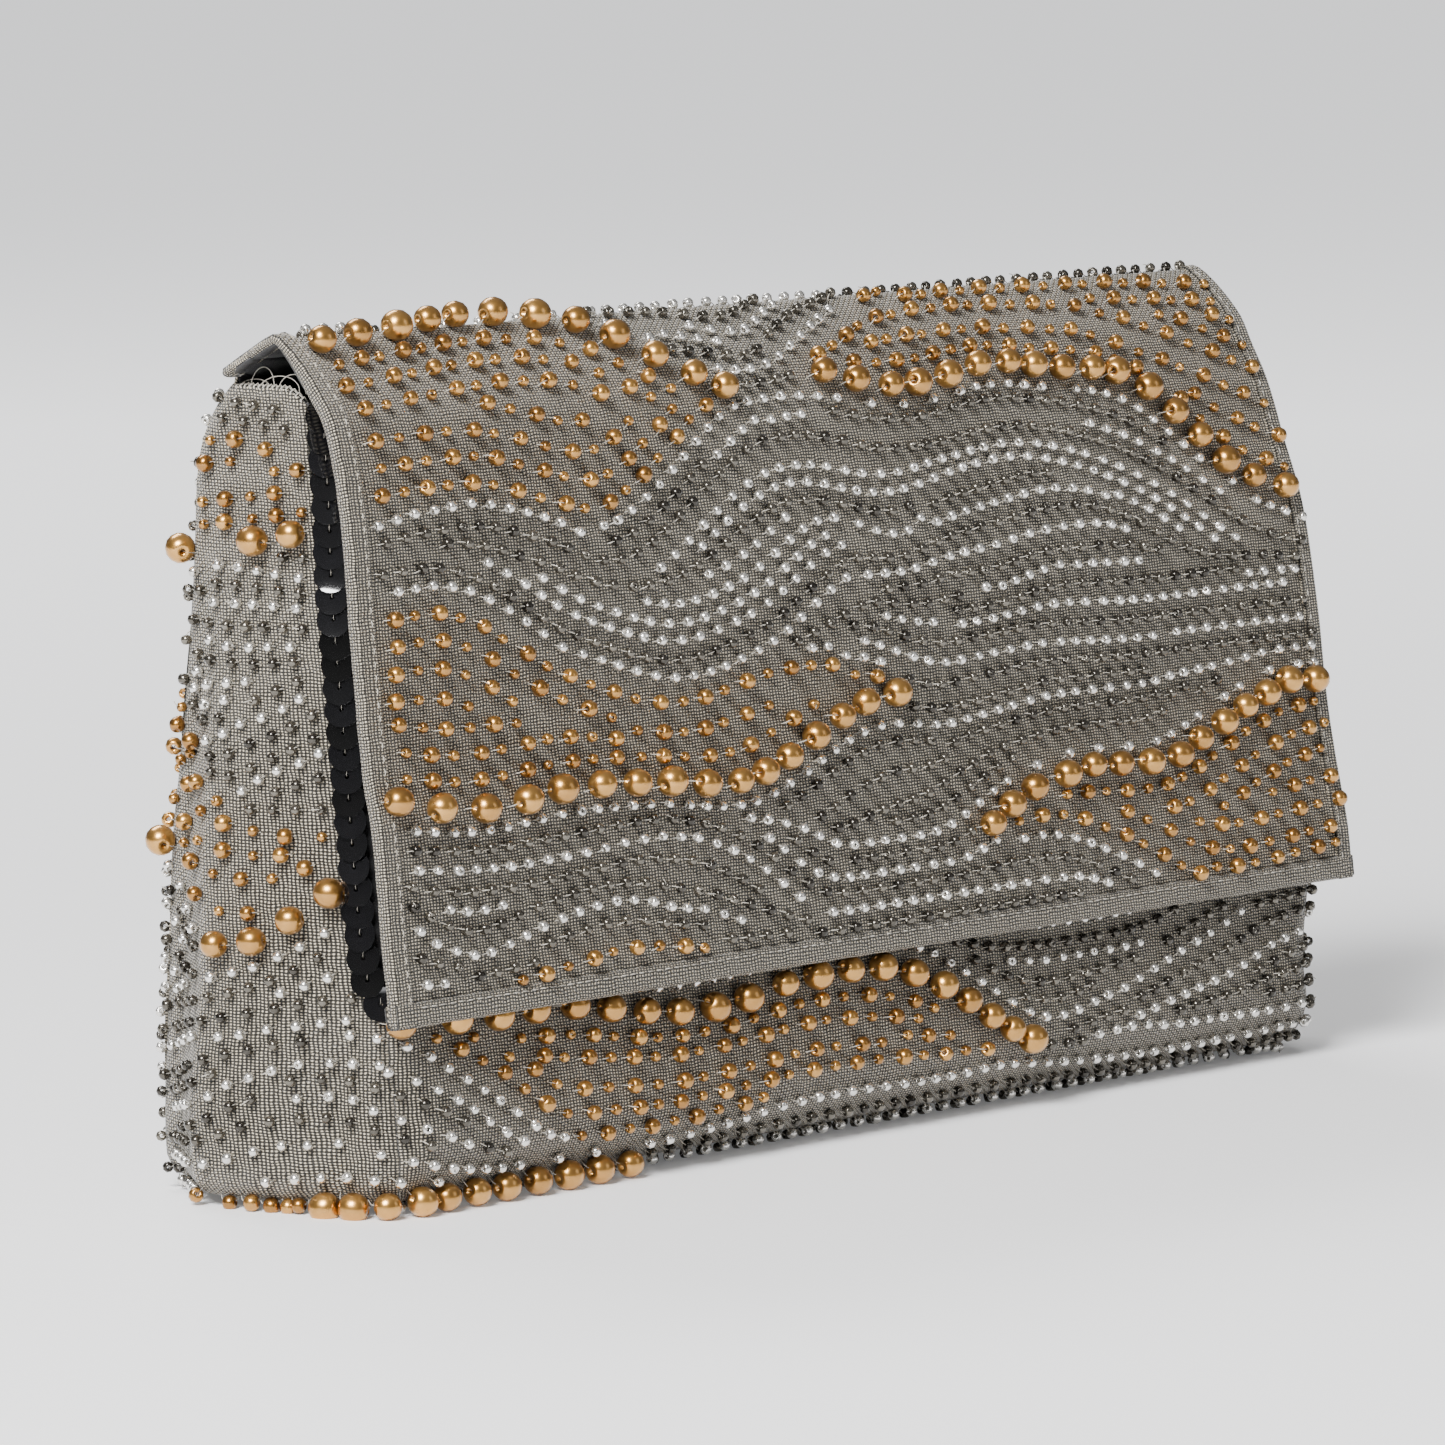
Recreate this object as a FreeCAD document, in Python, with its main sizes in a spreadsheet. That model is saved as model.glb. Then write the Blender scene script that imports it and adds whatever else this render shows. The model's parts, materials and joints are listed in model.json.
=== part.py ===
import FreeCAD, Part
import os
import Sketcher

# Clutch purse with a fold-over flap, in millimetres. X runs along the purse, -Y is the
# front, +Z is up, and the origin is the middle of the base, on the surface it stands on.
# Every layer is a strip or an end plate whose outline lies in the YZ plane.

SIZES = {
    # whole purse
    "body_width": 264.0,        # across the beads of the two gussets
    "body_height": 143.6,       # base to the flap's rear hinge line
    "foot_half": 29.5,          # middle of the base to the front or back, at z = 0
    "front_lean": 20.4,         # how far the front leans back over body_height
    "rear_lean": 16.0,          # how far the back leans forward over body_height
    "mouth_step": 7.0,          # hinge line down to the rim of front and gussets
    "base_radius": 14.0,        # rounded long edges of the base
    "turn_up": 6.0,             # base layers go on up the walls past the rounding
    # layers of the body, from the bead tops inward
    "bead_stand": 1.6,          # bead tops to the silk
    "silk": 0.7,
    "board": 1.2,
    "interlining": 0.6,         # soft stiffener of the gussets
    "lining": 0.5,
    "pocket": 0.5,              # slip pocket, lying flat on the back lining
    "pocket_width": 120.0,
    "pocket_foot": 38.0,
    "pocket_top": 112.0,
    "front_seam": 40.0,         # beaded cloth below, plain black cloth above
    "sequin_band": 5.5,
    "sequin_stack": 0.5,
    "sequin_inset": 1.0,        # band edge in from the side of the body
    # flap
    "flap_width": 266.0,
    "crest_run": 14.0,          # hinge line forward to the crest
    "crest_rise": 8.6,          # hinge line up to the crest
    "knee_drop": 4.4,           # hinge line down to the corner below the crest
    "knee_radius": 14.0,
    "tip_height": 33.0,         # lower edge of the flap above the base
    "flap_board": 1.0,
    "flap_gap_knee": 2.6,       # flap lining to black cloth, at the knee
    "flap_gap_tip": 3.4,        # the same, at the lower edge
    "hem": 4.0,                 # bare folded border of the flap
    "fold_gap": 0.35,           # each side of a fold between moving pieces
    "hinge_fall": 0.53,         # mitre at the hinge: down per unit of depth
    "crest_fall": 1.25,         # mitre at the crest: down per unit of depth
    "knee_in": 0.94,            # mitre at the knee: back per unit of depth
    "knee_fall": 0.47,          # and down per unit of depth
    # hidden magnets
    "magnet_radius": 7.0,
    "magnet_height": 58.0,
    "magnet_clearance": 0.5,
}

doc = FreeCAD.newDocument("clutch_purse")
dims = doc.addObject("Spreadsheet::Sheet", "Dims")
for row, (alias, value) in enumerate(SIZES.items(), start=1):
    dims.set(f"A{row}", alias)
    dims.set(f"B{row}", str(value))
    dims.setAlias(f"B{row}", alias)
doc.recompute()


def use(text):
    """Write a size's name as FreeCAD's expressions name it."""
    for alias in sorted(SIZES, key=len, reverse=True):
        text = text.replace(f"[{alias}]", f"Dims.{alias}")
    return text


# Depths inward from the bead tops, as expressions.
SILK = "[bead_stand]"
CLOTH_IN = "([bead_stand] + [silk])"
BOARD_IN = f"({CLOTH_IN} + [board])"
LINING_IN = f"({BOARD_IN} + [lining])"
POCKET_IN = f"({LINING_IN} + [pocket])"
FLAP_BOARD_IN = f"({CLOTH_IN} + [flap_board])"
FLAP_LINING_IN = f"({FLAP_BOARD_IN} + [lining])"

# Half widths along X.
CLOTH_HALF = f"([body_width] / 2 - {CLOTH_IN})"
BOARD_HALF = f"({CLOTH_HALF} - [interlining])"
LINING_HALF = f"({BOARD_HALF} - [lining])"
FLAP_HALF = "([flap_width] / 2)"
HEM_HALF = "([flap_width] / 2 - [hem])"

RIM = "([body_height] - [mouth_step])"
WALL_FOOT = "([base_radius] + [turn_up])"


def front_y(height, depth):
    slope = "([front_lean] / [body_height])"
    return f"(-[foot_half] + ({height}) * {slope} + ({depth}) * sqrt(1 + {slope}^2))"


def rear_y(height, depth):
    slope = "([rear_lean] / [body_height])"
    return f"([foot_half] - ({height}) * {slope} - ({depth}) * sqrt(1 + {slope}^2))"


def back_rim(depth):
    """Top of the back at a depth: the mitre below the hinge line."""
    height = f"([body_height] - [fold_gap] - [hinge_fall] * ({depth}))"
    return rear_y(height, depth), height


HINGE_Y = rear_y("[body_height]", "0")
CREST_Y = f"({HINGE_Y} - [crest_run])"
CREST_Z = "([body_height] + [crest_rise])"
KNEE_Z = "([body_height] - [knee_drop])"
STRIP_SLOPE = "([crest_rise] / [crest_run])"


def flap_face_y(height, gap):
    """Outer face of the flap where it lies in front of the body."""
    return front_y(height, f"{SILK} - {gap} - {FLAP_LINING_IN}")


KNEE_Y = flap_face_y(KNEE_Z, "[flap_gap_knee]")
TIP_Y = flap_face_y("[tip_height]", "[flap_gap_tip]")
DROP_SLOPE = f"(({KNEE_Y} - {TIP_Y}) / ({KNEE_Z} - [tip_height]))"
BROW_SLOPE = f"(({CREST_Z} - {KNEE_Z}) / ({CREST_Y} - {KNEE_Y}))"


def hinge_point(depth):
    """End of the flap's top strip at the rear hinge."""
    y = f"({HINGE_Y} - [fold_gap] - ({depth}))"
    z = f"([body_height] + [fold_gap] * {STRIP_SLOPE} - [hinge_fall] * ({depth}))"
    return y, z


def crest_point(depth, side):
    """Crest end of the top strip ("rear") or of the drop ("front")."""
    if side == "rear":
        y = f"({CREST_Y} + [fold_gap])"
        slope = STRIP_SLOPE
    else:
        y = f"({CREST_Y} - [fold_gap])"
        slope = BROW_SLOPE
    return y, f"({CREST_Z} - [fold_gap] * {slope} - [crest_fall] * ({depth}))"


def knee_point(depth):
    return f"({KNEE_Y} + [knee_in] * ({depth}))", f"({KNEE_Z} - [knee_fall] * ({depth}))"


def drop_point(height, depth):
    """A point of the flap's drop at a height and a depth below its outer face."""
    y = f"({TIP_Y} + (({height}) - [tip_height]) * {DROP_SLOPE}"
    return f"{y} + ({depth}) * sqrt(1 + {DROP_SLOPE}^2))", height


def value(expression):
    return float(dims.evalExpression(use(expression)))


def outline(body, name, plane, points):
    """Closed sketch through points given as pairs of expressions."""
    sketch = body.newObject("Sketcher::SketchObject", name)
    origin_plane = [item for item in body.Origin.OriginFeatures if item.Role == plane][0]
    sketch.AttachmentSupport = [(origin_plane, "")]
    sketch.MapMode = "FlatFace"
    corners = [FreeCAD.Vector(value(u), value(v), 0) for u, v in points]
    count = len(corners)
    for index in range(count):
        line = Part.LineSegment(corners[index], corners[(index + 1) % count])
        sketch.addGeometry(line, False)
    for index in range(count):
        joined = Sketcher.Constraint("Coincident", index, 2, (index + 1) % count, 1)
        sketch.addConstraint(joined)
    for index, (u, v) in enumerate(points):
        corner = corners[index]
        for kind, size, text in (("DistanceX", corner.x, u), ("DistanceY", corner.y, v)):
            number = sketch.addConstraint(Sketcher.Constraint(kind, index, 1, size))
            sketch.setExpression(f"Constraints[{number}]", use(text))
    return sketch


def edges_along_x(shape, points):
    """Names of the edges that run along X through the given outline points."""
    found = []
    for u, v in points:
        y, z = value(u), value(v)
        for number, edge in enumerate(shape.Edges, start=1):
            a, b = edge.Vertexes[0].Point, edge.Vertexes[-1].Point
            on_line = all(abs(p.y - y) < 1e-4 and abs(p.z - z) < 1e-4 for p in (a, b))
            if on_line and abs(a.x - b.x) > 1e-3:
                found.append(f"Edge{number}")
    return found


def layer(name, points, x_from, x_to, rounds=()):
    """A layer of cloth, board or lining: an outline extruded along X.

    rounds is a list of (outline points, radius) for the bends.
    """
    body = doc.addObject("PartDesign::Body", name)
    body.Label = name
    sketch = outline(body, name + "_outline", "YZ_Plane", points)
    sketch.setExpression("AttachmentOffset.Base.z", use(x_from))
    pad = body.newObject("PartDesign::Pad", name + "_pad")
    pad.Profile = sketch
    pad.setExpression("Length", use(f"({x_to}) - ({x_from})"))
    doc.recompute()
    last = pad
    for corners, radius in rounds:
        bend = body.newObject("PartDesign::Fillet", name + "_bend")
        bend.Base = (last, edges_along_x(last.Shape, corners))
        bend.setExpression("Radius", use(radius))
        doc.recompute()
        last = bend
    return body


def cut_round_hole(body, height, radius):
    """Cut a hole through a layer along Y, on the purse's middle plane."""
    sketch = body.newObject("Sketcher::SketchObject", body.Name + "_hole_outline")
    plane = [item for item in body.Origin.OriginFeatures if item.Role == "XZ_Plane"][0]
    sketch.AttachmentSupport = [(plane, "")]
    sketch.MapMode = "FlatFace"
    centre = FreeCAD.Vector(0, value(height), 0)
    circle = Part.Circle(centre, FreeCAD.Vector(0, 0, 1), value(radius))
    sketch.addGeometry(circle, False)
    sketch.addConstraint(Sketcher.Constraint("PointOnObject", 0, 3, -2))
    number = sketch.addConstraint(Sketcher.Constraint("DistanceY", 0, 3, centre.y))
    sketch.setExpression(f"Constraints[{number}]", use(height))
    number = sketch.addConstraint(Sketcher.Constraint("Radius", 0, value(radius)))
    sketch.setExpression(f"Constraints[{number}]", use(radius))
    doc.recompute()
    before = body.Shape.Volume
    pocket = body.newObject("PartDesign::Pocket", body.Name + "_hole")
    pocket.Profile = sketch
    pocket.Type = "ThroughAll"
    pocket.Midplane = True
    doc.recompute()
    if body.Shape.Volume >= before:
        raise RuntimeError(f"the hole in {body.Name} cuts nothing")


def magnet(name, outer_y, slope, thickness):
    """Flat disc lying in a board that leans back by slope per unit of height."""
    disc = doc.addObject("Part::Cylinder", name)
    disc.Label = name
    disc.setExpression("Radius", use("[magnet_radius]"))
    disc.setExpression("Height", use(thickness))
    turn = FreeCAD.Rotation(FreeCAD.Vector(-1, 0, 0), 90)
    disc.Placement = FreeCAD.Placement(FreeCAD.Vector(0, 0, 0), turn)
    disc.setExpression("Placement.Base.y", use(outer_y))
    disc.setExpression("Placement.Base.z", use("[magnet_height]"))
    disc.setExpression("Placement.Rotation.Angle", use(f"90 deg + atan({slope})"))
    return disc


def base_channel(name, outer, inner, half):
    """Base layer between two depths, turned up at the front and the back."""
    top = WALL_FOOT
    points = [
        (front_y(top, outer), top), (front_y(outer, outer), outer),
        (rear_y(outer, outer), outer), (rear_y(top, outer), top),
        (rear_y(top, inner), top), (rear_y(inner, inner), inner),
        (front_y(inner, inner), inner), (front_y(top, inner), top),
    ]
    rounds = [
        ([points[1], points[2]], f"[base_radius] - ({outer})"),
        ([points[5], points[6]], f"[base_radius] - ({inner})"),
    ]
    return layer(name, points, f"-{half}", half, rounds)


def front_layer(name, foot, top, outer, inner, x_from, x_to):
    points = [
        (front_y(foot, outer), foot), (front_y(foot, inner), foot),
        (front_y(top, inner), top), (front_y(top, outer), top),
    ]
    return layer(name, points, x_from, x_to)


def back_layer(name, outer, inner, half):
    foot = WALL_FOOT
    points = [
        (rear_y(foot, inner), foot), (rear_y(foot, outer), foot),
        back_rim(outer), back_rim(inner),
    ]
    return layer(name, points, f"-{half}", half)


def gusset_layer(name, depth, x_from, x_to):
    """End plate that fills the body's outline at a depth."""
    points = [
        (front_y(depth, depth), depth), (rear_y(depth, depth), depth),
        (rear_y(RIM, depth), RIM), (front_y(RIM, depth), RIM),
    ]
    rounds = [([points[0], points[1]], f"[base_radius] - ({depth})")]
    return layer(name, points, x_from, x_to, rounds)


def top_strip(name, outer, inner, x_from, x_to):
    """Flap layer from the rear hinge to the crest."""
    points = [
        hinge_point(inner), hinge_point(outer),
        crest_point(outer, "rear"), crest_point(inner, "rear"),
    ]
    return layer(name, points, x_from, x_to)


def drop_layer(name, outer, inner, foot, x_from, x_to):
    """Flap layer from the crest, round the knee and down the front."""
    points = [
        crest_point(inner, "front"), crest_point(outer, "front"), knee_point(outer),
        drop_point(foot, outer), drop_point(foot, inner), knee_point(inner),
    ]
    rounds = [
        ([points[2]], f"[knee_radius] - ({outer})"),
        ([points[5]], f"[knee_radius] - ({inner})"),
    ]
    return layer(name, points, x_from, x_to, rounds)


def both_ends(name, make, near, far):
    """Make a piece at the left end and its twin at the right end."""
    make(name + "_left", f"-({far})", f"-({near})")
    make(name + "_right", near, far)


# Body: base, front and back, from the beaded cloth inward.
base_channel("base_cloth", "0", CLOTH_IN, CLOTH_HALF)
base_channel("base_board", CLOTH_IN, BOARD_IN, BOARD_HALF)
base_channel("base_lining", BOARD_IN, LINING_IN, BOARD_HALF)

front_layer("front_cloth", WALL_FOOT, "[front_seam]", "0", CLOTH_IN,
            f"-{CLOTH_HALF}", CLOTH_HALF)
front_layer("under_flap_cloth", "[front_seam]", RIM, SILK, CLOTH_IN,
            f"-{CLOTH_HALF}", CLOTH_HALF)
front_board = front_layer("front_board", WALL_FOOT, RIM, CLOTH_IN, BOARD_IN,
                          f"-{BOARD_HALF}", BOARD_HALF)
front_layer("front_lining", WALL_FOOT, RIM, BOARD_IN, LINING_IN,
            f"-{BOARD_HALF}", BOARD_HALF)

back_layer("back_cloth", "0", CLOTH_IN, CLOTH_HALF)
back_layer("back_board", CLOTH_IN, BOARD_IN, BOARD_HALF)
back_layer("back_lining", BOARD_IN, LINING_IN, BOARD_HALF)

pocket_points = [
    (rear_y("[pocket_foot]", POCKET_IN), "[pocket_foot]"),
    (rear_y("[pocket_foot]", LINING_IN), "[pocket_foot]"),
    (rear_y("[pocket_top]", LINING_IN), "[pocket_top]"),
    (rear_y("[pocket_top]", POCKET_IN), "[pocket_top]"),
]
layer("slip_pocket", pocket_points, "-[pocket_width] / 2", "[pocket_width] / 2")

# Gussets and the sequin bands beside them.
both_ends("gusset_cloth",
          lambda name, x_from, x_to: gusset_layer(name, "0", x_from, x_to),
          CLOTH_HALF, "[body_width] / 2")
both_ends("gusset_interlining",
          lambda name, x_from, x_to: gusset_layer(name, CLOTH_IN, x_from, x_to),
          BOARD_HALF, CLOTH_HALF)
both_ends("gusset_lining",
          lambda name, x_from, x_to: gusset_layer(name, LINING_IN, x_from, x_to),
          LINING_HALF, BOARD_HALF)

band_far = f"({CLOTH_HALF} - [sequin_inset])"
both_ends("sequin_band",
          lambda name, x_from, x_to: front_layer(
              name, "[front_seam]", RIM, f"({SILK} - [sequin_stack])", SILK, x_from, x_to),
          f"{band_far} - [sequin_band]", band_far)

# Flap: the strip from the rear hinge to the crest.
top_strip("flap_top_cloth", "0", CLOTH_IN, f"-{HEM_HALF}", HEM_HALF)
top_strip("flap_top_lining", CLOTH_IN, f"({CLOTH_IN} + [lining])",
          f"-{FLAP_HALF}", FLAP_HALF)
both_ends("flap_top_hem",
          lambda name, x_from, x_to: top_strip(name, SILK, CLOTH_IN, x_from, x_to),
          HEM_HALF, FLAP_HALF)

# Flap: the drop in front of the body.
hem_top = "([tip_height] + [hem])"
drop_layer("flap_cloth", "0", CLOTH_IN, hem_top, f"-{HEM_HALF}", HEM_HALF)
flap_board = drop_layer("flap_board", CLOTH_IN, FLAP_BOARD_IN, "[tip_height]",
                        f"-{FLAP_HALF}", FLAP_HALF)
drop_layer("flap_lining", FLAP_BOARD_IN, FLAP_LINING_IN, "[tip_height]",
           f"-{FLAP_HALF}", FLAP_HALF)
both_ends("flap_hem",
          lambda name, x_from, x_to: drop_layer(
              name, SILK, CLOTH_IN, "[tip_height]", x_from, x_to),
          HEM_HALF, FLAP_HALF)
lower_hem_points = [
    drop_point("[tip_height]", SILK), drop_point("[tip_height]", CLOTH_IN),
    drop_point(hem_top, CLOTH_IN), drop_point(hem_top, SILK),
]
layer("flap_hem_lower", lower_hem_points, f"-{HEM_HALF}", HEM_HALF)

# Hidden magnets, each in a hole through its board.
hole_radius = "([magnet_radius] + [magnet_clearance])"
cut_round_hole(front_board, "[magnet_height]", hole_radius)
cut_round_hole(flap_board, "[magnet_height]", hole_radius)
magnet("front_magnet", front_y("[magnet_height]", CLOTH_IN),
       "[front_lean] / [body_height]", "[board]")
magnet("flap_magnet", drop_point("[magnet_height]", CLOTH_IN)[0], DROP_SLOPE,
       "[flap_board]")

doc.recompute()

bad = [item.Name for item in doc.Objects
       if "Invalid" in item.State or "Error" in item.State]
if bad:
    raise RuntimeError(f"failed objects: {bad}")

pieces = [item for item in doc.Objects
          if item.TypeId == "PartDesign::Body" or item.TypeId == "Part::Cylinder"]
for piece in pieces:
    if piece.Shape.isNull() or not piece.Shape.isValid() or not piece.Shape.Solids:
        raise RuntimeError(f"{piece.Label} has no valid solid")

os.makedirs("parts", exist_ok=True)
for piece in pieces:
    piece.Shape.exportStep(f"parts/{piece.Label}.step")
    print(f"{piece.Label}: {piece.Shape.Volume / 1000:.2f} cm3")

print(f"{len(pieces)} pieces")
print(f"hinge line: y {value(HINGE_Y):.3f}, z {value('[body_height]'):.3f}")
print(f"crest line: y {value(CREST_Y):.3f}, z {value(CREST_Z):.3f}")
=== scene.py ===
import json
import math
import random

import bmesh
import bpy
from mathutils import Matrix, Vector, kdtree, noise

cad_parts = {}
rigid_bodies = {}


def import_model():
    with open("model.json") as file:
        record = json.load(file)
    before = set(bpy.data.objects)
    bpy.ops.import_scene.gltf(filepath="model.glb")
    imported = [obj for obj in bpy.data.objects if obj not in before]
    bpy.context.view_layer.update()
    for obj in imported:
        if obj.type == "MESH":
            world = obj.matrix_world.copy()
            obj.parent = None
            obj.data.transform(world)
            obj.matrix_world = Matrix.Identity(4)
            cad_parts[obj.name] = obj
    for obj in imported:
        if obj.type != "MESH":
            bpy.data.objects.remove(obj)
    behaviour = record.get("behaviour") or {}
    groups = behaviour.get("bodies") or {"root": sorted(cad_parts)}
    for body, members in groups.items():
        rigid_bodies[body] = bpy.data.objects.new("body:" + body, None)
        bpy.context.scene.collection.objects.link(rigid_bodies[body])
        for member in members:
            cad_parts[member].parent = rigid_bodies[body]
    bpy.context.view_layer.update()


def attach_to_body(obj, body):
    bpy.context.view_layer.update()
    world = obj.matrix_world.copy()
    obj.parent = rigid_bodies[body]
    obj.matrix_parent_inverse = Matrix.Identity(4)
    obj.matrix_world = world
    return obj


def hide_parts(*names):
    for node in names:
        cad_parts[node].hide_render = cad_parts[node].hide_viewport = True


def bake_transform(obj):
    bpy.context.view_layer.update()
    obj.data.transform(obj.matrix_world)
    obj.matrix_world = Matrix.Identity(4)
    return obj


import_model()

# Clutch purse with a beaded fold-over flap. Shapes are worked out in millimetres
# in the frame of the CAD model and made into meshes in metres.
millimetre = 0.001
random.seed(11)


def ease(value, low, high):
    share = min(max((value - low) / (high - low), 0.0), 1.0)
    return share * share * (3 - 2 * share)


def curveValue(points, at):
    # smooth curve through (place, value) pairs, level outside them
    if at <= points[0][0]:
        return points[0][1]
    if at >= points[-1][0]:
        return points[-1][1]
    for k in range(len(points) - 1):
        if at <= points[k + 1][0]:
            break
    before, after = points[max(k - 1, 0)], points[min(k + 2, len(points) - 1)]
    (x0, y0), (x1, y1) = points[k], points[k + 1]
    slope0 = (y1 - before[1]) / (x1 - before[0])
    slope1 = (after[1] - y0) / (after[0] - x0)
    width = x1 - x0
    s = (at - x0) / width
    return ((2 * s - 3) * s * s + 1) * y0 + ((s - 2) * s + 1) * s * width * slope0 \
        + (3 - 2 * s) * s * s * y1 + (s - 1) * s * s * width * slope1


# the outside of the silk on the body
bag = {
    "halfWidth": 130.4,
    "floorGap": 1.6,          # silk of the base above the table
    "frontFoot": -27.9,
    "frontLean": 0.1421,
    "squeeze": 10.0,          # the right end is pressed back at the mouth
    "squeezeFrom": 100.0,
    "squeezePower": 1.4,
    "rim": 136.6,
    "rimRight": 137.3,
    "rimLeft": 141.4,
    "rimDip": 2.9,            # the left rim dips by this beside the flap
    "rimDipWidth": 7.0,
    "hinge": 143.6,
    "flapWidthFrom": 147.0,   # above the hinge the cloth widens to the flap up to here
    "frontSeam": 38.0,
    "footLevel": 14.0,        # below this the outline is that of the foot
    # value at the foot, its change, and the heights that the change lies between
    "frontCorner": (13.0, -8.0, 16, 40),
    "rearCorner": (9.0, -4.0, 30, 136),
    "crease": (0.69, 0.16, 20, 136),
    "cornerMiddle": 0.2146,   # the middle of a corner in u: half width less this share of its radius
    "foldRadius": 12.4,       # rounding under the front
    "backFold": 9.0,
    "sideFold": 5.4,
    "backSwell": 1.0,
    "sideSwell": 9.5,         # outward bulge of the ends
    "swellHeights": (10, 132),
    "slack": 0.55,            # height of the buckles in the silk
    "slackScale": (0.035, 0.04),
    "slackRise": (0, 30),
    "slackFall": (125, 140),
    "bevel": [(32, 0.0), (36, 2.2), (41, 4.6), (60, 5.0), (85, 4.2), (106, 3.8), (124, 2.8), (140, 2.3)],
    "rear": [(0, 34.8), (14, 35.0), (33, 34.4), (60, 32.3), (77, 29.6), (97, 26.6), (112, 25.2),
             (126, 23.6), (133, 21.6), (138.5, 18.2), (143.6, 12.8)],
}


def changing(name, z):
    start, change, low, high = bag[name]
    return start + change * ease(z, low, high)


def frontCorner(z):
    return changing("frontCorner", z)


def rearCorner(z):
    return changing("rearCorner", z)


def foldAt(radius, far, corner):
    # rounding of the lower edge, tighter at the ends than at the front and back
    straight = bag["halfWidth"] - corner
    return radius + (bag["sideFold"] - radius) * ease(far, straight, straight + corner * math.pi / 2)


def slack(u, v, seed):
    across, up = bag["slackScale"]
    return bag["slack"] * noise.noise(Vector((u * across, v * up, seed)))


def bulge(z, share):
    # each end swells out to an upright crease, then falls back to the rear corner
    crease = changing("crease", z)
    swell = bag["sideSwell"] * (1 - ease(z, *bag["swellHeights"]))
    if share < crease:
        return swell * math.sin(math.pi / 2 * max(share, 0) / crease)
    return swell * (1 - (share - crease) / (1 - crease))


def pressed(z):
    # how far the right end is pushed back at this height
    share = max(0, (z - bag["squeezeFrom"]) / (bag["rim"] - bag["squeezeFrom"]))
    return bag["squeeze"] * share ** bag["squeezePower"]


def endFront(z, side=-1):
    return bag["frontFoot"] + bag["frontLean"] * z + (pressed(z) if side > 0 else 0)


def endDepth(z, front):
    return max(curveValue(bag["rear"], z) - rearCorner(z) - front - frontCorner(z), 0.1)


def roundBase(around, u, v, fold):
    # the walls turn under on a rounded edge; v is height, then length round the edge
    centre = bag["floorGap"] + fold
    if v >= centre:
        return around(u, v)
    point, out = around(u, centre)
    angle = min((centre - v) / fold, math.pi / 2)
    point = point - out * fold * (1 - math.cos(angle))
    point.z = centre - fold * math.sin(angle)
    return point, (out * math.cos(angle) + Vector((0, 0, -math.sin(angle)))).normalized()


def frontOutline(u, z):
    side = -1 if u < 0 else 1
    far = abs(u)
    corner, rear = frontCorner(z), rearCorner(z)
    straight = bag["halfWidth"] - corner
    lean = min(max(u / straight, -1), 1)
    y = bag["frontFoot"] + bag["frontLean"] * z + pressed(z) * (lean + 1) / 2
    if far <= straight:
        return Vector((u, y, z)), Vector((0, -1, 0))
    far -= straight
    if far <= corner * math.pi / 2:
        a = far / corner
        return (Vector((side * (straight + corner * math.sin(a)), y + corner * (1 - math.cos(a)), z)),
                Vector((side * math.sin(a), -math.cos(a), 0)))
    far -= corner * math.pi / 2
    back = curveValue(bag["rear"], z)
    depth = endDepth(z, y)
    if far <= depth:
        reach = bag["halfWidth"] + bulge(z, far / depth)
        return Vector((side * reach, y + corner + far, z)), Vector((side, 0, 0))
    a = min((far - depth) / rear, math.pi / 2)
    return (Vector((side * (bag["halfWidth"] + bulge(z, 1) - rear * (1 - math.cos(a))),
                    back - rear + rear * math.sin(a), z)),
            Vector((side * math.cos(a), math.sin(a), 0)))


def backOutline(u, z):
    rear = rearCorner(z)
    straight = bag["halfWidth"] + bulge(z, 1) - rear
    side = -1 if u < 0 else 1
    y = curveValue(bag["rear"], z)
    y += bag["backSwell"] * max(0, 1 - (u / straight) ** 2) * math.sin(math.pi * min(z / bag["hinge"], 1))
    if abs(u) <= straight:
        return Vector((u, y, z)), Vector((0, 1, 0))
    a = min((abs(u) - straight) / rear, math.pi / 2)
    return (Vector((side * (straight + rear * math.sin(a)), y - rear * (1 - math.cos(a)), z)),
            Vector((side * math.sin(a), math.cos(a), 0)))


def frontFold(u):
    return foldAt(bag["foldRadius"], abs(u), bag["frontCorner"][0])


def backFold(u):
    return foldAt(bag["backFold"], abs(u), bag["rearCorner"][0])


def wallPoint(u, v):
    # front and both ends: u runs round the outline from the middle of the front
    point, out = roundBase(frontOutline, u, v, frontFold(u))
    return point + out * slack(u, v, 1.0) * ease(v, *bag["slackRise"])


def cornerSplit(z):
    # u at the middle of the front corner
    return bag["halfWidth"] - bag["cornerMiddle"] * frontCorner(z)


def sideEnd(z):
    # u at the middle of the rear corner
    z = max(z, bag["footLevel"])
    corner, rear = frontCorner(z), rearCorner(z)
    return bag["halfWidth"] - corner + corner * math.pi / 2 + rear * math.pi / 4 + max(
        curveValue(bag["rear"], z) - rear - endFront(z) - corner, 0.1)


def sideEndRight(z):
    z = max(z, bag["footLevel"])
    return sideEnd(z) - (endFront(z, 1) - endFront(z))


def backEnd(z):
    # half width of the back to the middle of the rear corner
    z = max(z, bag["footLevel"])
    return bag["halfWidth"] + bulge(z, 1) - rearCorner(z) * (1 - math.pi / 4)


def foldEnd(fold):
    return bag["floorGap"] + fold - fold * math.pi / 2


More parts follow.
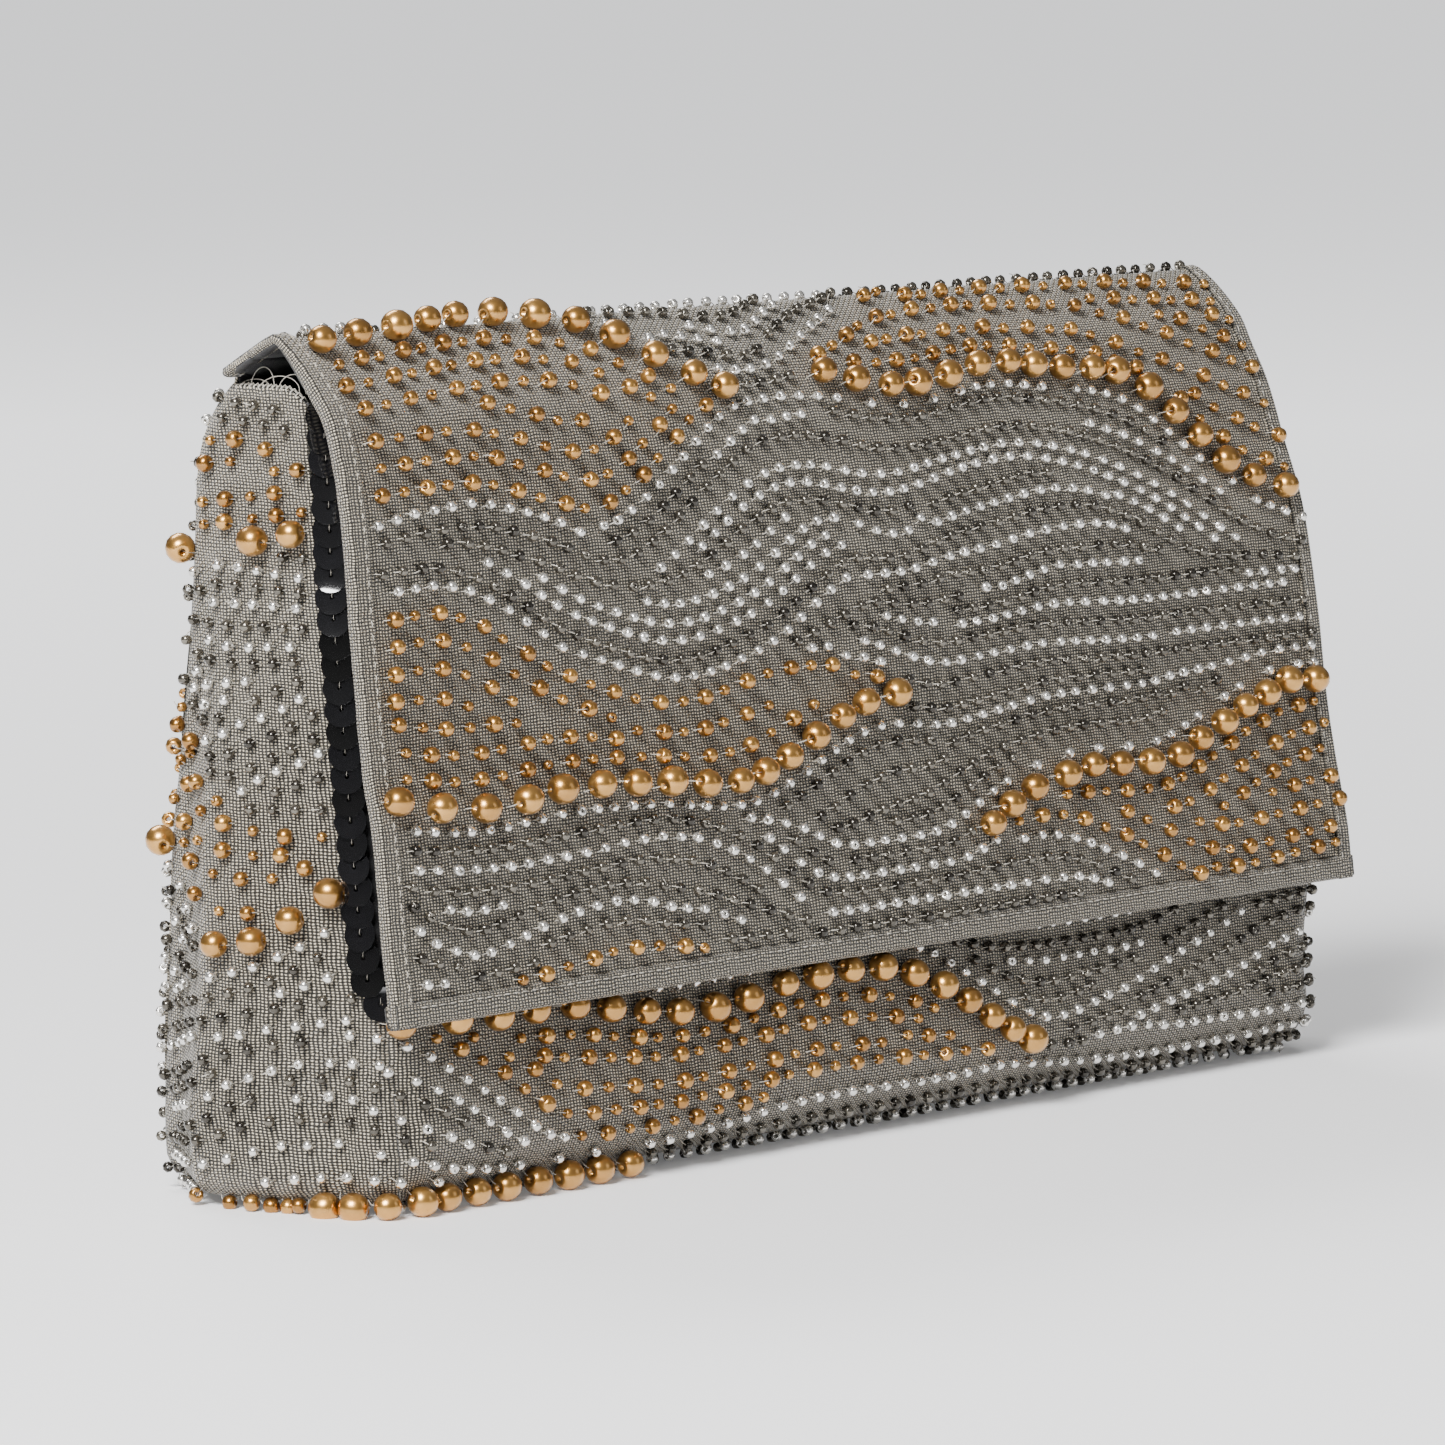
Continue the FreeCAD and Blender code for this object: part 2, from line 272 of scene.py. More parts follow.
# the outside of the silk on the flap: (y, z) from its lower edge up to the hinge
flap = {
    "halfWidth": 133.0,
    "length": 137.4,
    "split": 130.0,           # where the cloth over the hinge meets the cloth over the crest
    "left": [(-28.5, 34), (-27.8, 39.1), (-26.7, 46.4), (-25.6, 58.1), (-24.1, 69), (-22.2, 76.6),
             (-20.9, 86.2), (-19.6, 98.2), (-18.5, 107.4), (-17.4, 116.0), (-16.2, 124.7), (-14.9, 131.1),
             (-12.7, 137.7), (-8.4, 143.3), (-5.0, 146.7), (-0.7, 150.1), (0.6, 150.2), (6.5, 147.1),
             (12.6, 143.6)],
    "right": [(-28.5, 34), (-26.8, 45.7), (-21.8, 68.2), (-19.1, 86.5), (-15.9, 104.6), (-11.2, 117.6),
              (-7.2, 128.3), (-3.3, 135.3), (-0.3, 140.6), (6.9, 147.2), (11.0, 149.3), (12.6, 143.6)],
    "edgeLean": 0.13,         # the surface is carried on below the lower edge
    "slackRise": (-2, 20),
    "soft": (110, 122),       # the board ends here and the cloth thins out
}


def withLength(profile):
    lengths = [0.0]
    for a, b in zip(profile, profile[1:]):
        lengths.append(lengths[-1] + math.dist(a, b))
    lengths[-1] = flap["length"]
    return ([(s, p[0]) for s, p in zip(lengths, profile)],
            [(s, p[1]) for s, p in zip(lengths, profile)])


leftY, leftZ = withLength(flap["left"])
rightY, rightZ = withLength(flap["right"])


def flapPoint(x, t):
    share = min(max((x + flap["halfWidth"]) / (2 * flap["halfWidth"]), 0), 1)
    y = curveValue(leftY, t) * (1 - share) + curveValue(rightY, t) * share
    z = curveValue(leftZ, t) * (1 - share) + curveValue(rightZ, t) * share
    if t < 0:
        y, z = y + flap["edgeLean"] * t, z + t
    y -= slack(x, t, 5.0) * ease(t, *flap["slackRise"]) * (1 - ease(t, *flap["soft"]))
    return Vector((x, y, z))


def backPoint(u, v):
    # the back, then over the hinge line on to the first part of the flap
    if v > bag["hinge"]:
        widening = flap["halfWidth"] / backEnd(bag["hinge"]) - 1
        spread = 1 + widening * ease(v, bag["hinge"], bag["flapWidthFrom"])
        return flapPoint(u * spread, flap["length"] - (v - bag["hinge"]))
    point, out = roundBase(backOutline, u, v, backFold(u))
    loose = ease(v, *bag["slackRise"]) * (1 - ease(v, *bag["slackFall"]))
    return point + out * slack(u, v, 9.0) * loose


def surfaceFrame(place, facing, u, v, step=0.4):
    # the point, the two directions along the surface, and the one out of it
    along = place(u + step, v) - place(u - step, v)
    up = place(u, v + step) - place(u, v - step)
    normal = along.cross(up)
    return place(u, v), along.normalized(), up.normalized(), normal.normalized() * facing


def below(place, facing, depth):
    # the same surface, deeper in the wall
    def deeper(u, v):
        point, along, up, normal = surfaceFrame(place, facing, u, v)
        return point - normal * depth(v)
    return deeper


bumpDepth = {"weave": 0.00025, "bead": 0.00005}
sheenRoughness = 0.4


def newMaterial(name):
    material = bpy.data.materials.new(name)
    material.use_nodes = True
    nodes = material.node_tree.nodes
    return material, nodes, material.node_tree.links, nodes["Principled BSDF"]


def mathNode(nodes, links, operation, first, second=None):
    node = nodes.new("ShaderNodeMath")
    node.operation = operation
    for socket, value in zip(node.inputs, (first, second)):
        if value is None:
            continue
        if isinstance(value, (int, float)):
            socket.default_value = value
        else:
            links.new(value, socket)
    return node.outputs[0]


def mixColour(nodes, links, share, first, second, blendType="MIX"):
    node = nodes.new("ShaderNodeMix")
    node.data_type = "RGBA"
    node.blend_type = blendType
    for socket, value in ((node.inputs[0], share), (node.inputs[6], first), (node.inputs[7], second)):
        if isinstance(value, (int, float)):
            socket.default_value = value
        elif isinstance(value, tuple):
            socket.default_value = (*value, 1)
        else:
            links.new(value, socket)
    return node.outputs[2]


def addBump(nodes, links, shader, height, strength, distance):
    bump = nodes.new("ShaderNodeBump")
    bump.inputs["Strength"].default_value = strength
    bump.inputs["Distance"].default_value = distance
    links.new(height, bump.inputs["Height"])
    links.new(bump.outputs[0], shader.inputs["Normal"])


def noiseNode(nodes, links, vector, scale, detail=2.0):
    node = nodes.new("ShaderNodeTexNoise")
    node.inputs["Scale"].default_value = scale
    node.inputs["Detail"].default_value = detail
    links.new(vector, node.inputs["Vector"])
    return node.outputs["Fac"]


def wovenCloth(name, look):
    # plain weave on the cloth's own millimetre UV map; the dips between threads get painted shade
    material, nodes, links, shader = newMaterial(name)
    uv = nodes.new("ShaderNodeUVMap")
    uv.uv_map = "clothMap"
    split = nodes.new("ShaderNodeSeparateXYZ")
    links.new(uv.outputs[0], split.inputs[0])

    def combine(operation, first, second=None):
        return mathNode(nodes, links, operation, first, second)

    def threads(place, pitch):
        return combine("SINE", combine("MULTIPLY", combine("ADD", place, shift), math.pi / pitch))

    shift = combine("MULTIPLY", noiseNode(nodes, links, uv.outputs[0], look["wobbleScale"]), look["wobble"])
    warp = threads(split.outputs[0], look["warp"])
    weft = threads(split.outputs[1], look["weft"])
    over = combine("GREATER_THAN", combine("MULTIPLY", warp, weft), 0.0)
    warpHump = combine("ABSOLUTE", warp)
    weftHump = combine("ABSOLUTE", weft)
    under = combine("SUBTRACT", 1.0, over)
    height = combine("ADD", combine("MULTIPLY", over, warpHump), combine("MULTIPLY", under, weftHump))
    # painted shade: the colour falls towards near black where the thread humps dip between threads
    gap = combine("POWER", combine("MULTIPLY", warpHump, weftHump), look["gap"])
    streak = noiseNode(nodes, links, uv.outputs[0], look["streakScale"], 3.0)
    tint = mixColour(nodes, links, streak, look["threadDark"], look["thread"])
    weftTint = mixColour(nodes, links, over, look["weftThread"], tint)
    colour = mixColour(nodes, links, gap, look["gapColour"], weftTint)
    links.new(colour, shader.inputs["Base Color"])
    shader.inputs["Roughness"].default_value = look["roughness"]
    shader.inputs["Specular IOR Level"].default_value = look["specular"]
    shader.inputs["Sheen Weight"].default_value = look["sheen"]
    shader.inputs["Sheen Roughness"].default_value = sheenRoughness
    addBump(nodes, links, shader, height, look["bump"], bumpDepth["weave"])
    return material


def beadFinish(name, look):
    # each bead has its own tone attribute; fine mottling breaks up the lacquer
    material, nodes, links, shader = newMaterial(name)
    tone = nodes.new("ShaderNodeAttribute")
    tone.attribute_name = "tone"
    place = nodes.new("ShaderNodeTexCoord")
    mottle = noiseNode(nodes, links, place.outputs["Object"], look["mottleScale"])
    colour = mixColour(nodes, links, tone.outputs["Fac"], look["dark"], look["light"])
    stain = mixColour(nodes, links, mottle, (0.8, 0.78, 0.75), (1.0, 1.0, 1.0))
    links.new(mixColour(nodes, links, 1.0, colour, stain, "MULTIPLY"), shader.inputs["Base Color"])
    rough = mathNode(nodes, links, "MULTIPLY", mottle, look["roughSpread"])
    links.new(mathNode(nodes, links, "ADD", rough, look["roughness"]), shader.inputs["Roughness"])
    shader.inputs["Metallic"].default_value = look["metallic"]
    shader.inputs["Coat Weight"].default_value = look["coat"]
    shader.inputs["Coat Roughness"].default_value = look["coatRoughness"]
    addBump(nodes, links, shader, mottle, look["bump"], bumpDepth["bead"])
    return material


silk = wovenCloth("taupeSilk", {
    "warp": 0.77, "weft": 0.55, "wobble": 0.8, "wobbleScale": 0.35, "streakScale": 0.9,
    "thread": (0.98, 0.86, 0.67), "threadDark": (0.42, 0.365, 0.27), "weftThread": (0.70, 0.62, 0.47),
    "gapColour": (0.006, 0.005, 0.003), "gap": 3.0, "roughness": 0.46, "specular": 0.45,
    "sheen": 0.2, "bump": 0.9})
blackCloth = wovenCloth("blackCloth", {
    "warp": 0.25, "weft": 0.25, "wobble": 0.2, "wobbleScale": 0.4, "streakScale": 1.0,
    "thread": (0.016, 0.016, 0.017), "threadDark": (0.009, 0.009, 0.01), "weftThread": (0.012, 0.012, 0.013),
    "gapColour": (0.003, 0.003, 0.003), "gap": 0.6, "roughness": 0.7, "specular": 0.3,
    "sheen": 0.15, "bump": 0.6})
satin = wovenCloth("blackSatin", {
    "warp": 0.12, "weft": 0.3, "wobble": 0.5, "wobbleScale": 0.2, "streakScale": 0.3,
    "thread": (0.024, 0.023, 0.024), "threadDark": (0.014, 0.014, 0.015), "weftThread": (0.02, 0.019, 0.02),
    "gapColour": (0.008, 0.008, 0.008), "gap": 0.3, "roughness": 0.33, "specular": 0.5,
    "sheen": 0.1, "bump": 0.25})
felt = wovenCloth("greyFelt", {
    "warp": 0.5, "weft": 0.5, "wobble": 1.6, "wobbleScale": 1.2, "streakScale": 2.0,
    "thread": (0.3, 0.29, 0.27), "threadDark": (0.2, 0.19, 0.18), "weftThread": (0.25, 0.24, 0.22),
    "gapColour": (0.16, 0.15, 0.14), "gap": 0.3, "roughness": 0.95, "specular": 0.1,
    "sheen": 0.3, "bump": 0.4})
board = wovenCloth("greyBoard", {
    "warp": 1.5, "weft": 2.2, "wobble": 6.0, "wobbleScale": 0.8, "streakScale": 1.6,
    "thread": (0.36, 0.33, 0.28), "threadDark": (0.28, 0.25, 0.21), "weftThread": (0.33, 0.3, 0.26),
    "gapColour": (0.3, 0.27, 0.23), "gap": 0.2, "roughness": 0.9, "specular": 0.2,
    "sheen": 0.0, "bump": 0.3})
goldFinish = beadFinish("goldPearl", {
    "dark": (0.36, 0.17, 0.038), "light": (0.71, 0.385, 0.105), "metallic": 0.95, "roughness": 0.24,
    "roughSpread": 0.12, "mottleScale": 900.0, "coat": 0.5, "coatRoughness": 0.12, "bump": 0.12})
silverFinish = beadFinish("silverGlass", {
    "dark": (0.78, 0.77, 0.74), "light": (1.0, 0.99, 0.96), "metallic": 0.92, "roughness": 0.2,
    "roughSpread": 0.1, "mottleScale": 1200.0, "coat": 0.4, "coatRoughness": 0.1, "bump": 0.1})
darkFinish = beadFinish("gunmetalGlass", {
    "dark": (0.035, 0.031, 0.025), "light": (0.19, 0.175, 0.145), "metallic": 0.85, "roughness": 0.16,
    "roughSpread": 0.12, "mottleScale": 1200.0, "coat": 0.5, "coatRoughness": 0.08, "bump": 0.1})
sequinFinish = beadFinish("blackSequin", {
    "dark": (0.002, 0.002, 0.002), "light": (0.005, 0.005, 0.006), "metallic": 0.0, "roughness": 0.05,
    "roughSpread": 0.04, "mottleScale": 300.0, "coat": 1.0, "coatRoughness": 0.03, "bump": 0.02})
threadFinish = beadFinish("paleThread", {
    "dark": (0.34, 0.32, 0.28), "light": (0.55, 0.52, 0.46), "metallic": 0.0, "roughness": 0.55,
    "roughSpread": 0.2, "mottleScale": 2500.0, "coat": 0.0, "coatRoughness": 0.3, "bump": 0.3})
steelFinish = beadFinish("magnetSteel", {
    "dark": (0.45, 0.45, 0.46), "light": (0.6, 0.6, 0.62), "metallic": 1.0, "roughness": 0.25,
    "roughSpread": 0.2, "mottleScale": 400.0, "coat": 0.0, "coatRoughness": 0.3, "bump": 0.1})
print("materials made")


def finishPiece(name, bm, material):
    mesh = bpy.data.meshes.new(name)
    bm.to_mesh(mesh)
    bm.free()
    mesh.materials.append(material)
    piece = bpy.data.objects.new(name, mesh)
    bpy.context.scene.collection.objects.link(piece)
    return piece


def clothPiece(name, spread, facing, cells, thickness, material):
    # a grid laid on the surface; spread(a, b) gives the point and its place on the cloth
    bm = bmesh.new()
    bmesh.ops.create_grid(bm, x_segments=cells[0], y_segments=cells[1], size=0.5)
    flat = {}
    for vert in bm.verts:
        point, u, v = spread(vert.co.x + 0.5, vert.co.y + 0.5)
        flat[vert] = (u, v)
        vert.co = point * millimetre
    layer = bm.loops.layers.uv.new("clothMap")
    for face in bm.faces:
        face.smooth = True
        for loop in face.loops:
            loop[layer].uv = flat[loop.vert]
    if facing < 0:
        bmesh.ops.reverse_faces(bm, faces=bm.faces[:])
    piece = finishPiece(name, bm, material)
    wall = piece.modifiers.new("thickness", "SOLIDIFY")
    wall.thickness = thickness * millimetre
    wall.offset = -1
    return piece


def panel(name, place, facing, uRange, vRange, depth, thickness, cells, material, slotName):
    laid = below(place, facing, depth if callable(depth) else lambda v: depth) if depth else place

    def spread(a, b):
        low, high = vRange(0.0)
        u0, u1 = uRange(low + (high - low) * b)
        u = u0 + (u1 - u0) * a
        low, high = vRange(u)
        v = low + (high - low) * b
        return laid(u, v), u, v
    return clothPiece(name, spread, facing, cells, thickness, material)


# depth of each layer below the outside of the silk, and its thickness
layers = {"silk": (0.0, 0.6), "board": (0.75, 1.1), "felt": (0.75, 0.5), "lining": (1.95, 0.4),
          "sideLining": (1.4, 0.4), "flapBoard": (0.75, 0.9), "flapLining": (1.75, 0.4), "pocket": (2.5, 0.4)}


def sideTop(u):
    # rim of the ends; the right end sits lower under the flap
    if u > 0:
        return bag["rimRight"]
    corner = cornerSplit(bag["rimLeft"])
    return bag["rimLeft"] - bag["rimDip"] * (1 - ease(abs(u), corner, corner + bag["rimDipWidth"]))


def wallFoot(u):
    return foldEnd(frontFold(u))


def bevelEdge(z):
    # the ends stop here beside the sequins, measured round the corner from its middle
    return curveValue(bag["bevel"], z)


def wallBody(name, key, foot, top, cells, material, slotName, halfWidth=cornerSplit):
    depth, thickness = layers[key]
    return panel(name, wallPoint, 1, lambda v: (-halfWidth(v), halfWidth(v)),
                 lambda u: (foot(u), top), depth, thickness, cells, material, slotName)


frontSilk = wallBody("frontSilk", "silk", wallFoot, bag["frontSeam"], (132, 24), silk, "silk")
underFlapCloth = wallBody("underFlapCloth", "silk", lambda u: bag["frontSeam"] - 1.0, bag["rim"],
                          (60, 40), blackCloth, "black_cloth", lambda v: cornerSplit(v) + 1.5)
frontBoard = wallBody("frontBoard", "board", lambda u: 16.0, bag["rim"] - 0.4, (40, 30), board, "board",
                      lambda v: cornerSplit(v) - 1.5)
frontLining = wallBody("frontLining", "lining", lambda u: 3.0, bag["rim"], (60, 50), satin, "lining")
for piece, node in ((frontSilk, "front_cloth"), (underFlapCloth, "under_flap_cloth"),
                    (frontBoard, "front_board"), (frontLining, "front_lining")):
    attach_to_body(piece, "body")
    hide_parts(node)

backTop = bag["hinge"] + flap["length"] - flap["split"]


def backSpan(v, inset=0.0):
    return -backEnd(v) + inset, backEnd(v) - inset


def backLiningDepth(v):
    # the lining rises to the silk where the board ends
    return layers["lining"][0] - 1.2 * ease(v, 134, 143)


backSilk = panel("backSilk", backPoint, -1, backSpan, lambda u: (foldEnd(backFold(u)), backTop),
                 *layers["silk"], (132, 84), silk, "silk")
backLining = panel("backLining", backPoint, -1, backSpan, lambda u: (3.0, backTop),
                   backLiningDepth, layers["lining"][1], (70, 84), satin, "lining")
backBoard = panel("backBoard", backPoint, -1, lambda v: backSpan(v, 3.0),
                  lambda u: (16.0, 138.5), *layers["board"], (40, 40), board, "board")
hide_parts("back_cloth", "flap_top_cloth")
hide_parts("back_lining", "flap_top_lining")
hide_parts("back_board")
for piece in (backSilk, backLining):
    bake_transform(piece)
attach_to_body(backBoard, "body")

slipPocket = panel("slipPocket", backPoint, -1, lambda v: (-60.0, 60.0), lambda u: (38.0, 112.0),
                   *layers["pocket"], (40, 26), satin, "lining")
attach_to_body(slipPocket, "body")
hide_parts("slip_pocket")

sideWords = {-1: "Left", 1: "Right"}
farEnds = {-1: sideEnd, 1: sideEndRight}
for side, word in sideWords.items():
    def endRange(v, side=side):
        near, far = cornerSplit(v) + bevelEdge(v), farEnds[side](v)
        return (-far, -near) if side < 0 else (near, far)

    endSilk = panel(f"end{word}Silk", wallPoint, 1, endRange, lambda u: (wallFoot(u), sideTop(u)),
                    *layers["silk"], (36, 78), silk, "silk")
    endFelt = panel(f"end{word}Interlining", wallPoint, 1, endRange, lambda u: (6.0, sideTop(u) - 0.5),
                    *layers["felt"], (20, 50), felt, "interlining")
    endLining = panel(f"end{word}Lining", wallPoint, 1, endRange, lambda u: (5.0, sideTop(u)),
                      *layers["sideLining"], (24, 60), satin, "lining")
    for piece, node in ((endSilk, "cloth"), (endFelt, "interlining"), (endLining, "lining")):
        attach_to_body(piece, "body")
        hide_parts(f"gusset_{node}_{word.lower()}")


def basePiece(name, key, inset, cells, material):
    # the flat of the base, with rounded corners
    level, turn = bag["footLevel"], 5.0
    lift = bag["floorGap"] + layers[key][0]
    front = endFront(level) + bag["foldRadius"] + inset
    back = curveValue(bag["rear"], level) - bag["backFold"] - inset
    middle, half = (front + back) / 2, (back - front) / 2

    def spread(a, b):
        y = front + (back - front) * b
        share = (y - endFront(level) - frontCorner(level)) / endDepth(level, endFront(level))
        side = bag["halfWidth"] + bulge(level, min(share, 1)) - bag["sideFold"] - inset
        x = side * (2 * a - 1)
        nearX = max(abs(x) - (side - turn), 0)
        nearY = max(abs(y - middle) - (half - turn), 0)
        reach = math.hypot(nearX, nearY)
        if nearX and nearY and reach > turn:
            x -= math.copysign(nearX * (1 - turn / reach), x)
            y -= math.copysign(nearY * (1 - turn / reach), y - middle)
        return Vector((x, y, lift)), x, y
    return clothPiece(name, spread, -1, cells, layers[key][1], material)


baseSilk = basePiece("baseSilk", "silk", 0.0, (120, 16), silk)
baseBoard = basePiece("baseBoard", "board", 1.0, (60, 8), board)
baseLining = basePiece("baseLining", "lining", -1.5, (60, 8), satin)
for piece, node in ((baseSilk, "base_cloth"), (baseBoard, "base_board"), (baseLining, "base_lining")):
    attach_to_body(piece, "body")
    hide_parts(node)

flapEdge = flap["halfWidth"] - 0.6


def flapSpan(v, inset=0.0):
    return -flapEdge + inset, flapEdge - inset


def flapLiningDepth(v):
    return layers["flapLining"][0] - 1.0 * ease(v, 112, 123)


flapSilk = panel("flapSilk", flapPoint, 1, flapSpan, lambda u: (0.5, flap["split"]),
                 *layers["silk"], (134, 70), silk, "silk")
flapBoard = panel("flapBoard", flapPoint, 1, lambda v: flapSpan(v, 1.0), lambda u: (1.5, 112.0),
                  *layers["flapBoard"], (40, 50), board, "board")
flapLining = panel("flapLining", flapPoint, 1, flapSpan, lambda u: (0.5, flap["split"]),
                   flapLiningDepth, layers["flapLining"][1], (60, 70), satin, "lining")
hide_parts("flap_cloth")
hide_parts("flap_lining")
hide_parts("flap_board")
for piece in (flapSilk, flapLining):
    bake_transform(piece)
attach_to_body(flapBoard, "flap_drop")
print("cloth laid")


# folded border of the flap: the silk turns round the edge on to the lining
hem = {"section": [(4.3, 0.02), (4.1, 0.42), (3.2, 0.62), (2.0, 0.6), (0.9, 0.55), (0.2, 0.2),
                   (0.0, -0.5), (0.05, -1.4), (0.5, -2.15), (1.6, -2.45), (3.8, -2.5), (4.1, -2.3)],
       "round": 12.0, "top": 7.0, "step": 1.6, "thickness": 0.35}


def hemPiece(along, length, upright):
    # along(a) gives the edge: point, direction inwards on the flap, normal, and how thin the flap is
    section = hem["section"]

    def spread(a, b):
        place, inward, normal, thin = along(a)
        k = min(int(b * (len(section) - 1)), len(section) - 2)
        share = b * (len(section) - 1) - k
        inset = section[k][0] * (1 - share) + section[k + 1][0] * share
        lift = section[k][1] * (1 - share) + section[k + 1][1] * share
        wave = 0.12 * noise.noise(place * 0.25)
        lift = min(lift, 0.2) * (1 - thin) + 0.25 * thin + 0.4 if lift > 0.2 else lift * (1 - 0.55 * thin)
        point = place + inward * (inset + wave) + normal * (lift + wave * 0.5)
        turned = b * hem["round"]
        return (point, turned, a * length) if upright else (point, a * length, turned)
    return spread


def edgeFrame(x, t, inward):
    point, along, up, normal = surfaceFrame(flapPoint, 1, x, t)
    return point, (along * inward[0] + up * inward[1]).normalized(), normal, ease(t, *flap["soft"])


half, topLength = flap["halfWidth"], hem["top"]
hemPlaces = [
    ("flapHemLeft", lambda a: edgeFrame(-half, a * flap["split"], (1, 0)), flap["split"], "flap_hem_left"),
    ("flapHemRight", lambda a: edgeFrame(half, (1 - a) * flap["split"], (-1, 0)), flap["split"],
     "flap_hem_right"),
    ("flapHemLower", lambda a: edgeFrame(half - 2 * half * a, 0.0, (0, 1)), 2 * half, "flap_hem_lower"),
    ("flapTopHemLeft", lambda a: edgeFrame(-half, flap["split"] + a * topLength, (1, 0)), topLength,
     "flap_top_hem_left"),
    ("flapTopHemRight", lambda a: edgeFrame(half, flap["length"] - 0.4 - a * topLength, (-1, 0)), topLength,
     "flap_top_hem_right"),
]
for name, along, length, node in hemPlaces:
    steps = max(int(length / hem["step"]), 4)
    piece = clothPiece(name, hemPiece(along, length, name != "flapHemLower"), 1, (steps, 22),
                       hem["thickness"], silk)
    if "Top" in name:
        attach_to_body(piece, "flap_top")
    elif name == "flapHemLower":
        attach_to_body(piece, "flap_drop")
    else:
        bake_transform(piece)
    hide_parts(node)
print("borders folded")


rowRules = {"step": 3.0, "nearest": 7, "soften": 5, "cell": 6.0, "startEvery": 4, "besidePearls": 1.25,
            "startGap": 0.93, "rowGap": 0.72, "longest": 420}


def resample(points, step=1.0):
    path = [Vector(p) for p in points]
    result = [path[0].copy()]
    carry = 0.0
    for a, b in zip(path, path[1:]):
        length = (b - a).length
        place = step - carry
        while place <= length:
            result.append(a.lerp(b, place / length))
            place += step
        carry = (carry + length) % step
    return result


def inPolygon(p, polygon):
    inside = False
    for (x0, y0), (x1, y1) in zip(polygon, polygon[1:] + polygon[:1]):
        if (y0 > p.y) != (y1 > p.y) and p.x < (x1 - x0) * (p.y - y0) / (y1 - y0) + x0:
            inside = not inside
    return inside


def layRows(plan, regionOf):
    # rows follow the guide lines and keep an even distance; each new row starts beside an old one
    samples = []
    for kind, guides in plan["guides"].items():
        for guide in guides:
            path = resample(guide, rowRules["step"])
            for a, b in zip(path, path[1:]):
                samples.append((a, (b - a).normalized()))
    tree = kdtree.KDTree(len(samples))
    for index, (point, tangent) in enumerate(samples):
        tree.insert((point.x, point.y, 0), index)
    tree.balance()

    def direction(p):
        total = Vector((0, 0))
        for co, index, distance in tree.find_n((p.x, p.y, 0), rowRules["nearest"]):
            total += samples[index][1] / (distance * distance + rowRules["soften"])
        return total.normalized()

    cell = rowRules["cell"]
    taken = {}

    def remember(points):
        for p in points:
            taken.setdefault((int(p.x // cell), int(p.y // cell)), []).append(p)

    def clearance(p):
        best = 99.0
        cx, cy = int(p.x // cell), int(p.y // cell)
        for i in (cx - 1, cx, cx + 1):
            for j in (cy - 1, cy, cy + 1):
                for other in taken.get((i, j), ()):
                    best = min(best, (other - p).length)
        return best

    rows = []
    for kind, guides in plan["guides"].items():
        if kind == "flow":
            continue
        for guide in guides:
            points = [p for p in resample(guide) if regionOf(p)]
            if points:
                rows.append((kind, points, regionOf(points[len(points) // 2])))
                remember(points)
    for kind, points, region in rows:
        for k in range(2, len(points) - 1, rowRules["startEvery"]):
            tangent = (points[k + 1] - points[k - 1]).normalized()
            for sign in (1, -1):
                side = Vector((-tangent.y, tangent.x)) * sign
                area = regionOf(points[k] + side * plan["goldSpacing"])
                spacing = plan["goldSpacing"] if area == "gold" else plan["spacing"]
                reach = spacing * (rowRules["besidePearls"] if kind == "pearl" and area != "gold" else 1.0)
                seed = points[k] + side * reach
                area = regionOf(seed)
                if not area or clearance(seed) < reach * rowRules["startGap"]:
                    continue
                row = [seed]
                for way in (1, -1):
                    p = seed
                    for count in range(rowRules["longest"]):
                        q = p + direction(p) * way
                        if regionOf(q) != area or clearance(q) < spacing * rowRules["rowGap"]:
                            break
                        row = row + [q] if way > 0 else [q] + row
                        p = q
                if len(row) < plan["shortest"]:
                    continue
                newKind = "gold" if area == "gold" else ("dark" if kind == "silver" else "silver")
                rows.append((newKind, row, area))
                remember(row)
    return rows


# bead sizes: radius round the hole, length along it, hole radius, step to the next bead
beads = {
    "seed": {"radius": 1.04, "length": 1.72, "hole": 0.38, "segments": 8, "rings": 5, "pitch": 4.7},
    "small": {"radius": 0.98, "length": 1.7, "hole": 0.38, "segments": 8, "rings": 5, "pitch": 6.0},
    "medium": {"radius": 1.5, "length": 2.6, "hole": 0.5, "segments": 10, "rings": 6, "pitch": 6.0},
    "pearl": {"radius": 2.6, "length": 5.0, "hole": 0.55, "segments": 14, "rings": 8, "pitch": 9.0},
}


def spunShape(name, section, axis, steps, sharp=math.pi):
    # a closed section of (x, z) points turned round an axis; edges past the sharp angle stay crisp
    bm = bmesh.new()
    ring = [bm.verts.new((x, 0, z)) for x, z in section]
    edges = [bm.edges.new(pair) for pair in zip(ring, ring[1:] + ring[:1])]
    bmesh.ops.spin(bm, geom=ring + edges, cent=(0, 0, 0), axis=axis, dvec=(0, 0, 0),
                   angle=2 * math.pi, steps=steps, use_merge=True, use_duplicate=False)
    bmesh.ops.remove_doubles(bm, verts=bm.verts[:], dist=1e-4)
    bmesh.ops.recalc_face_normals(bm, faces=bm.faces[:])
    bm.verts.layers.float.new("tone")
    for face in bm.faces:
        face.smooth = True
    for edge in bm.edges:
        edge.smooth = edge.calc_face_angle(0) < sharp
    mesh = bpy.data.meshes.new(name)
    bm.to_mesh(mesh)
    bm.free()
    return mesh


def beadTemplate(name, size):
    half, wall = size["length"] / 2, size["radius"] - size["hole"]
    angles = [math.pi * k / size["rings"] for k in range(size["rings"] + 1)]
    section = [(half * math.cos(a), size["hole"] + wall * math.sin(a)) for a in angles]
    return spunShape(name, section, (1, 0, 0), size["segments"])


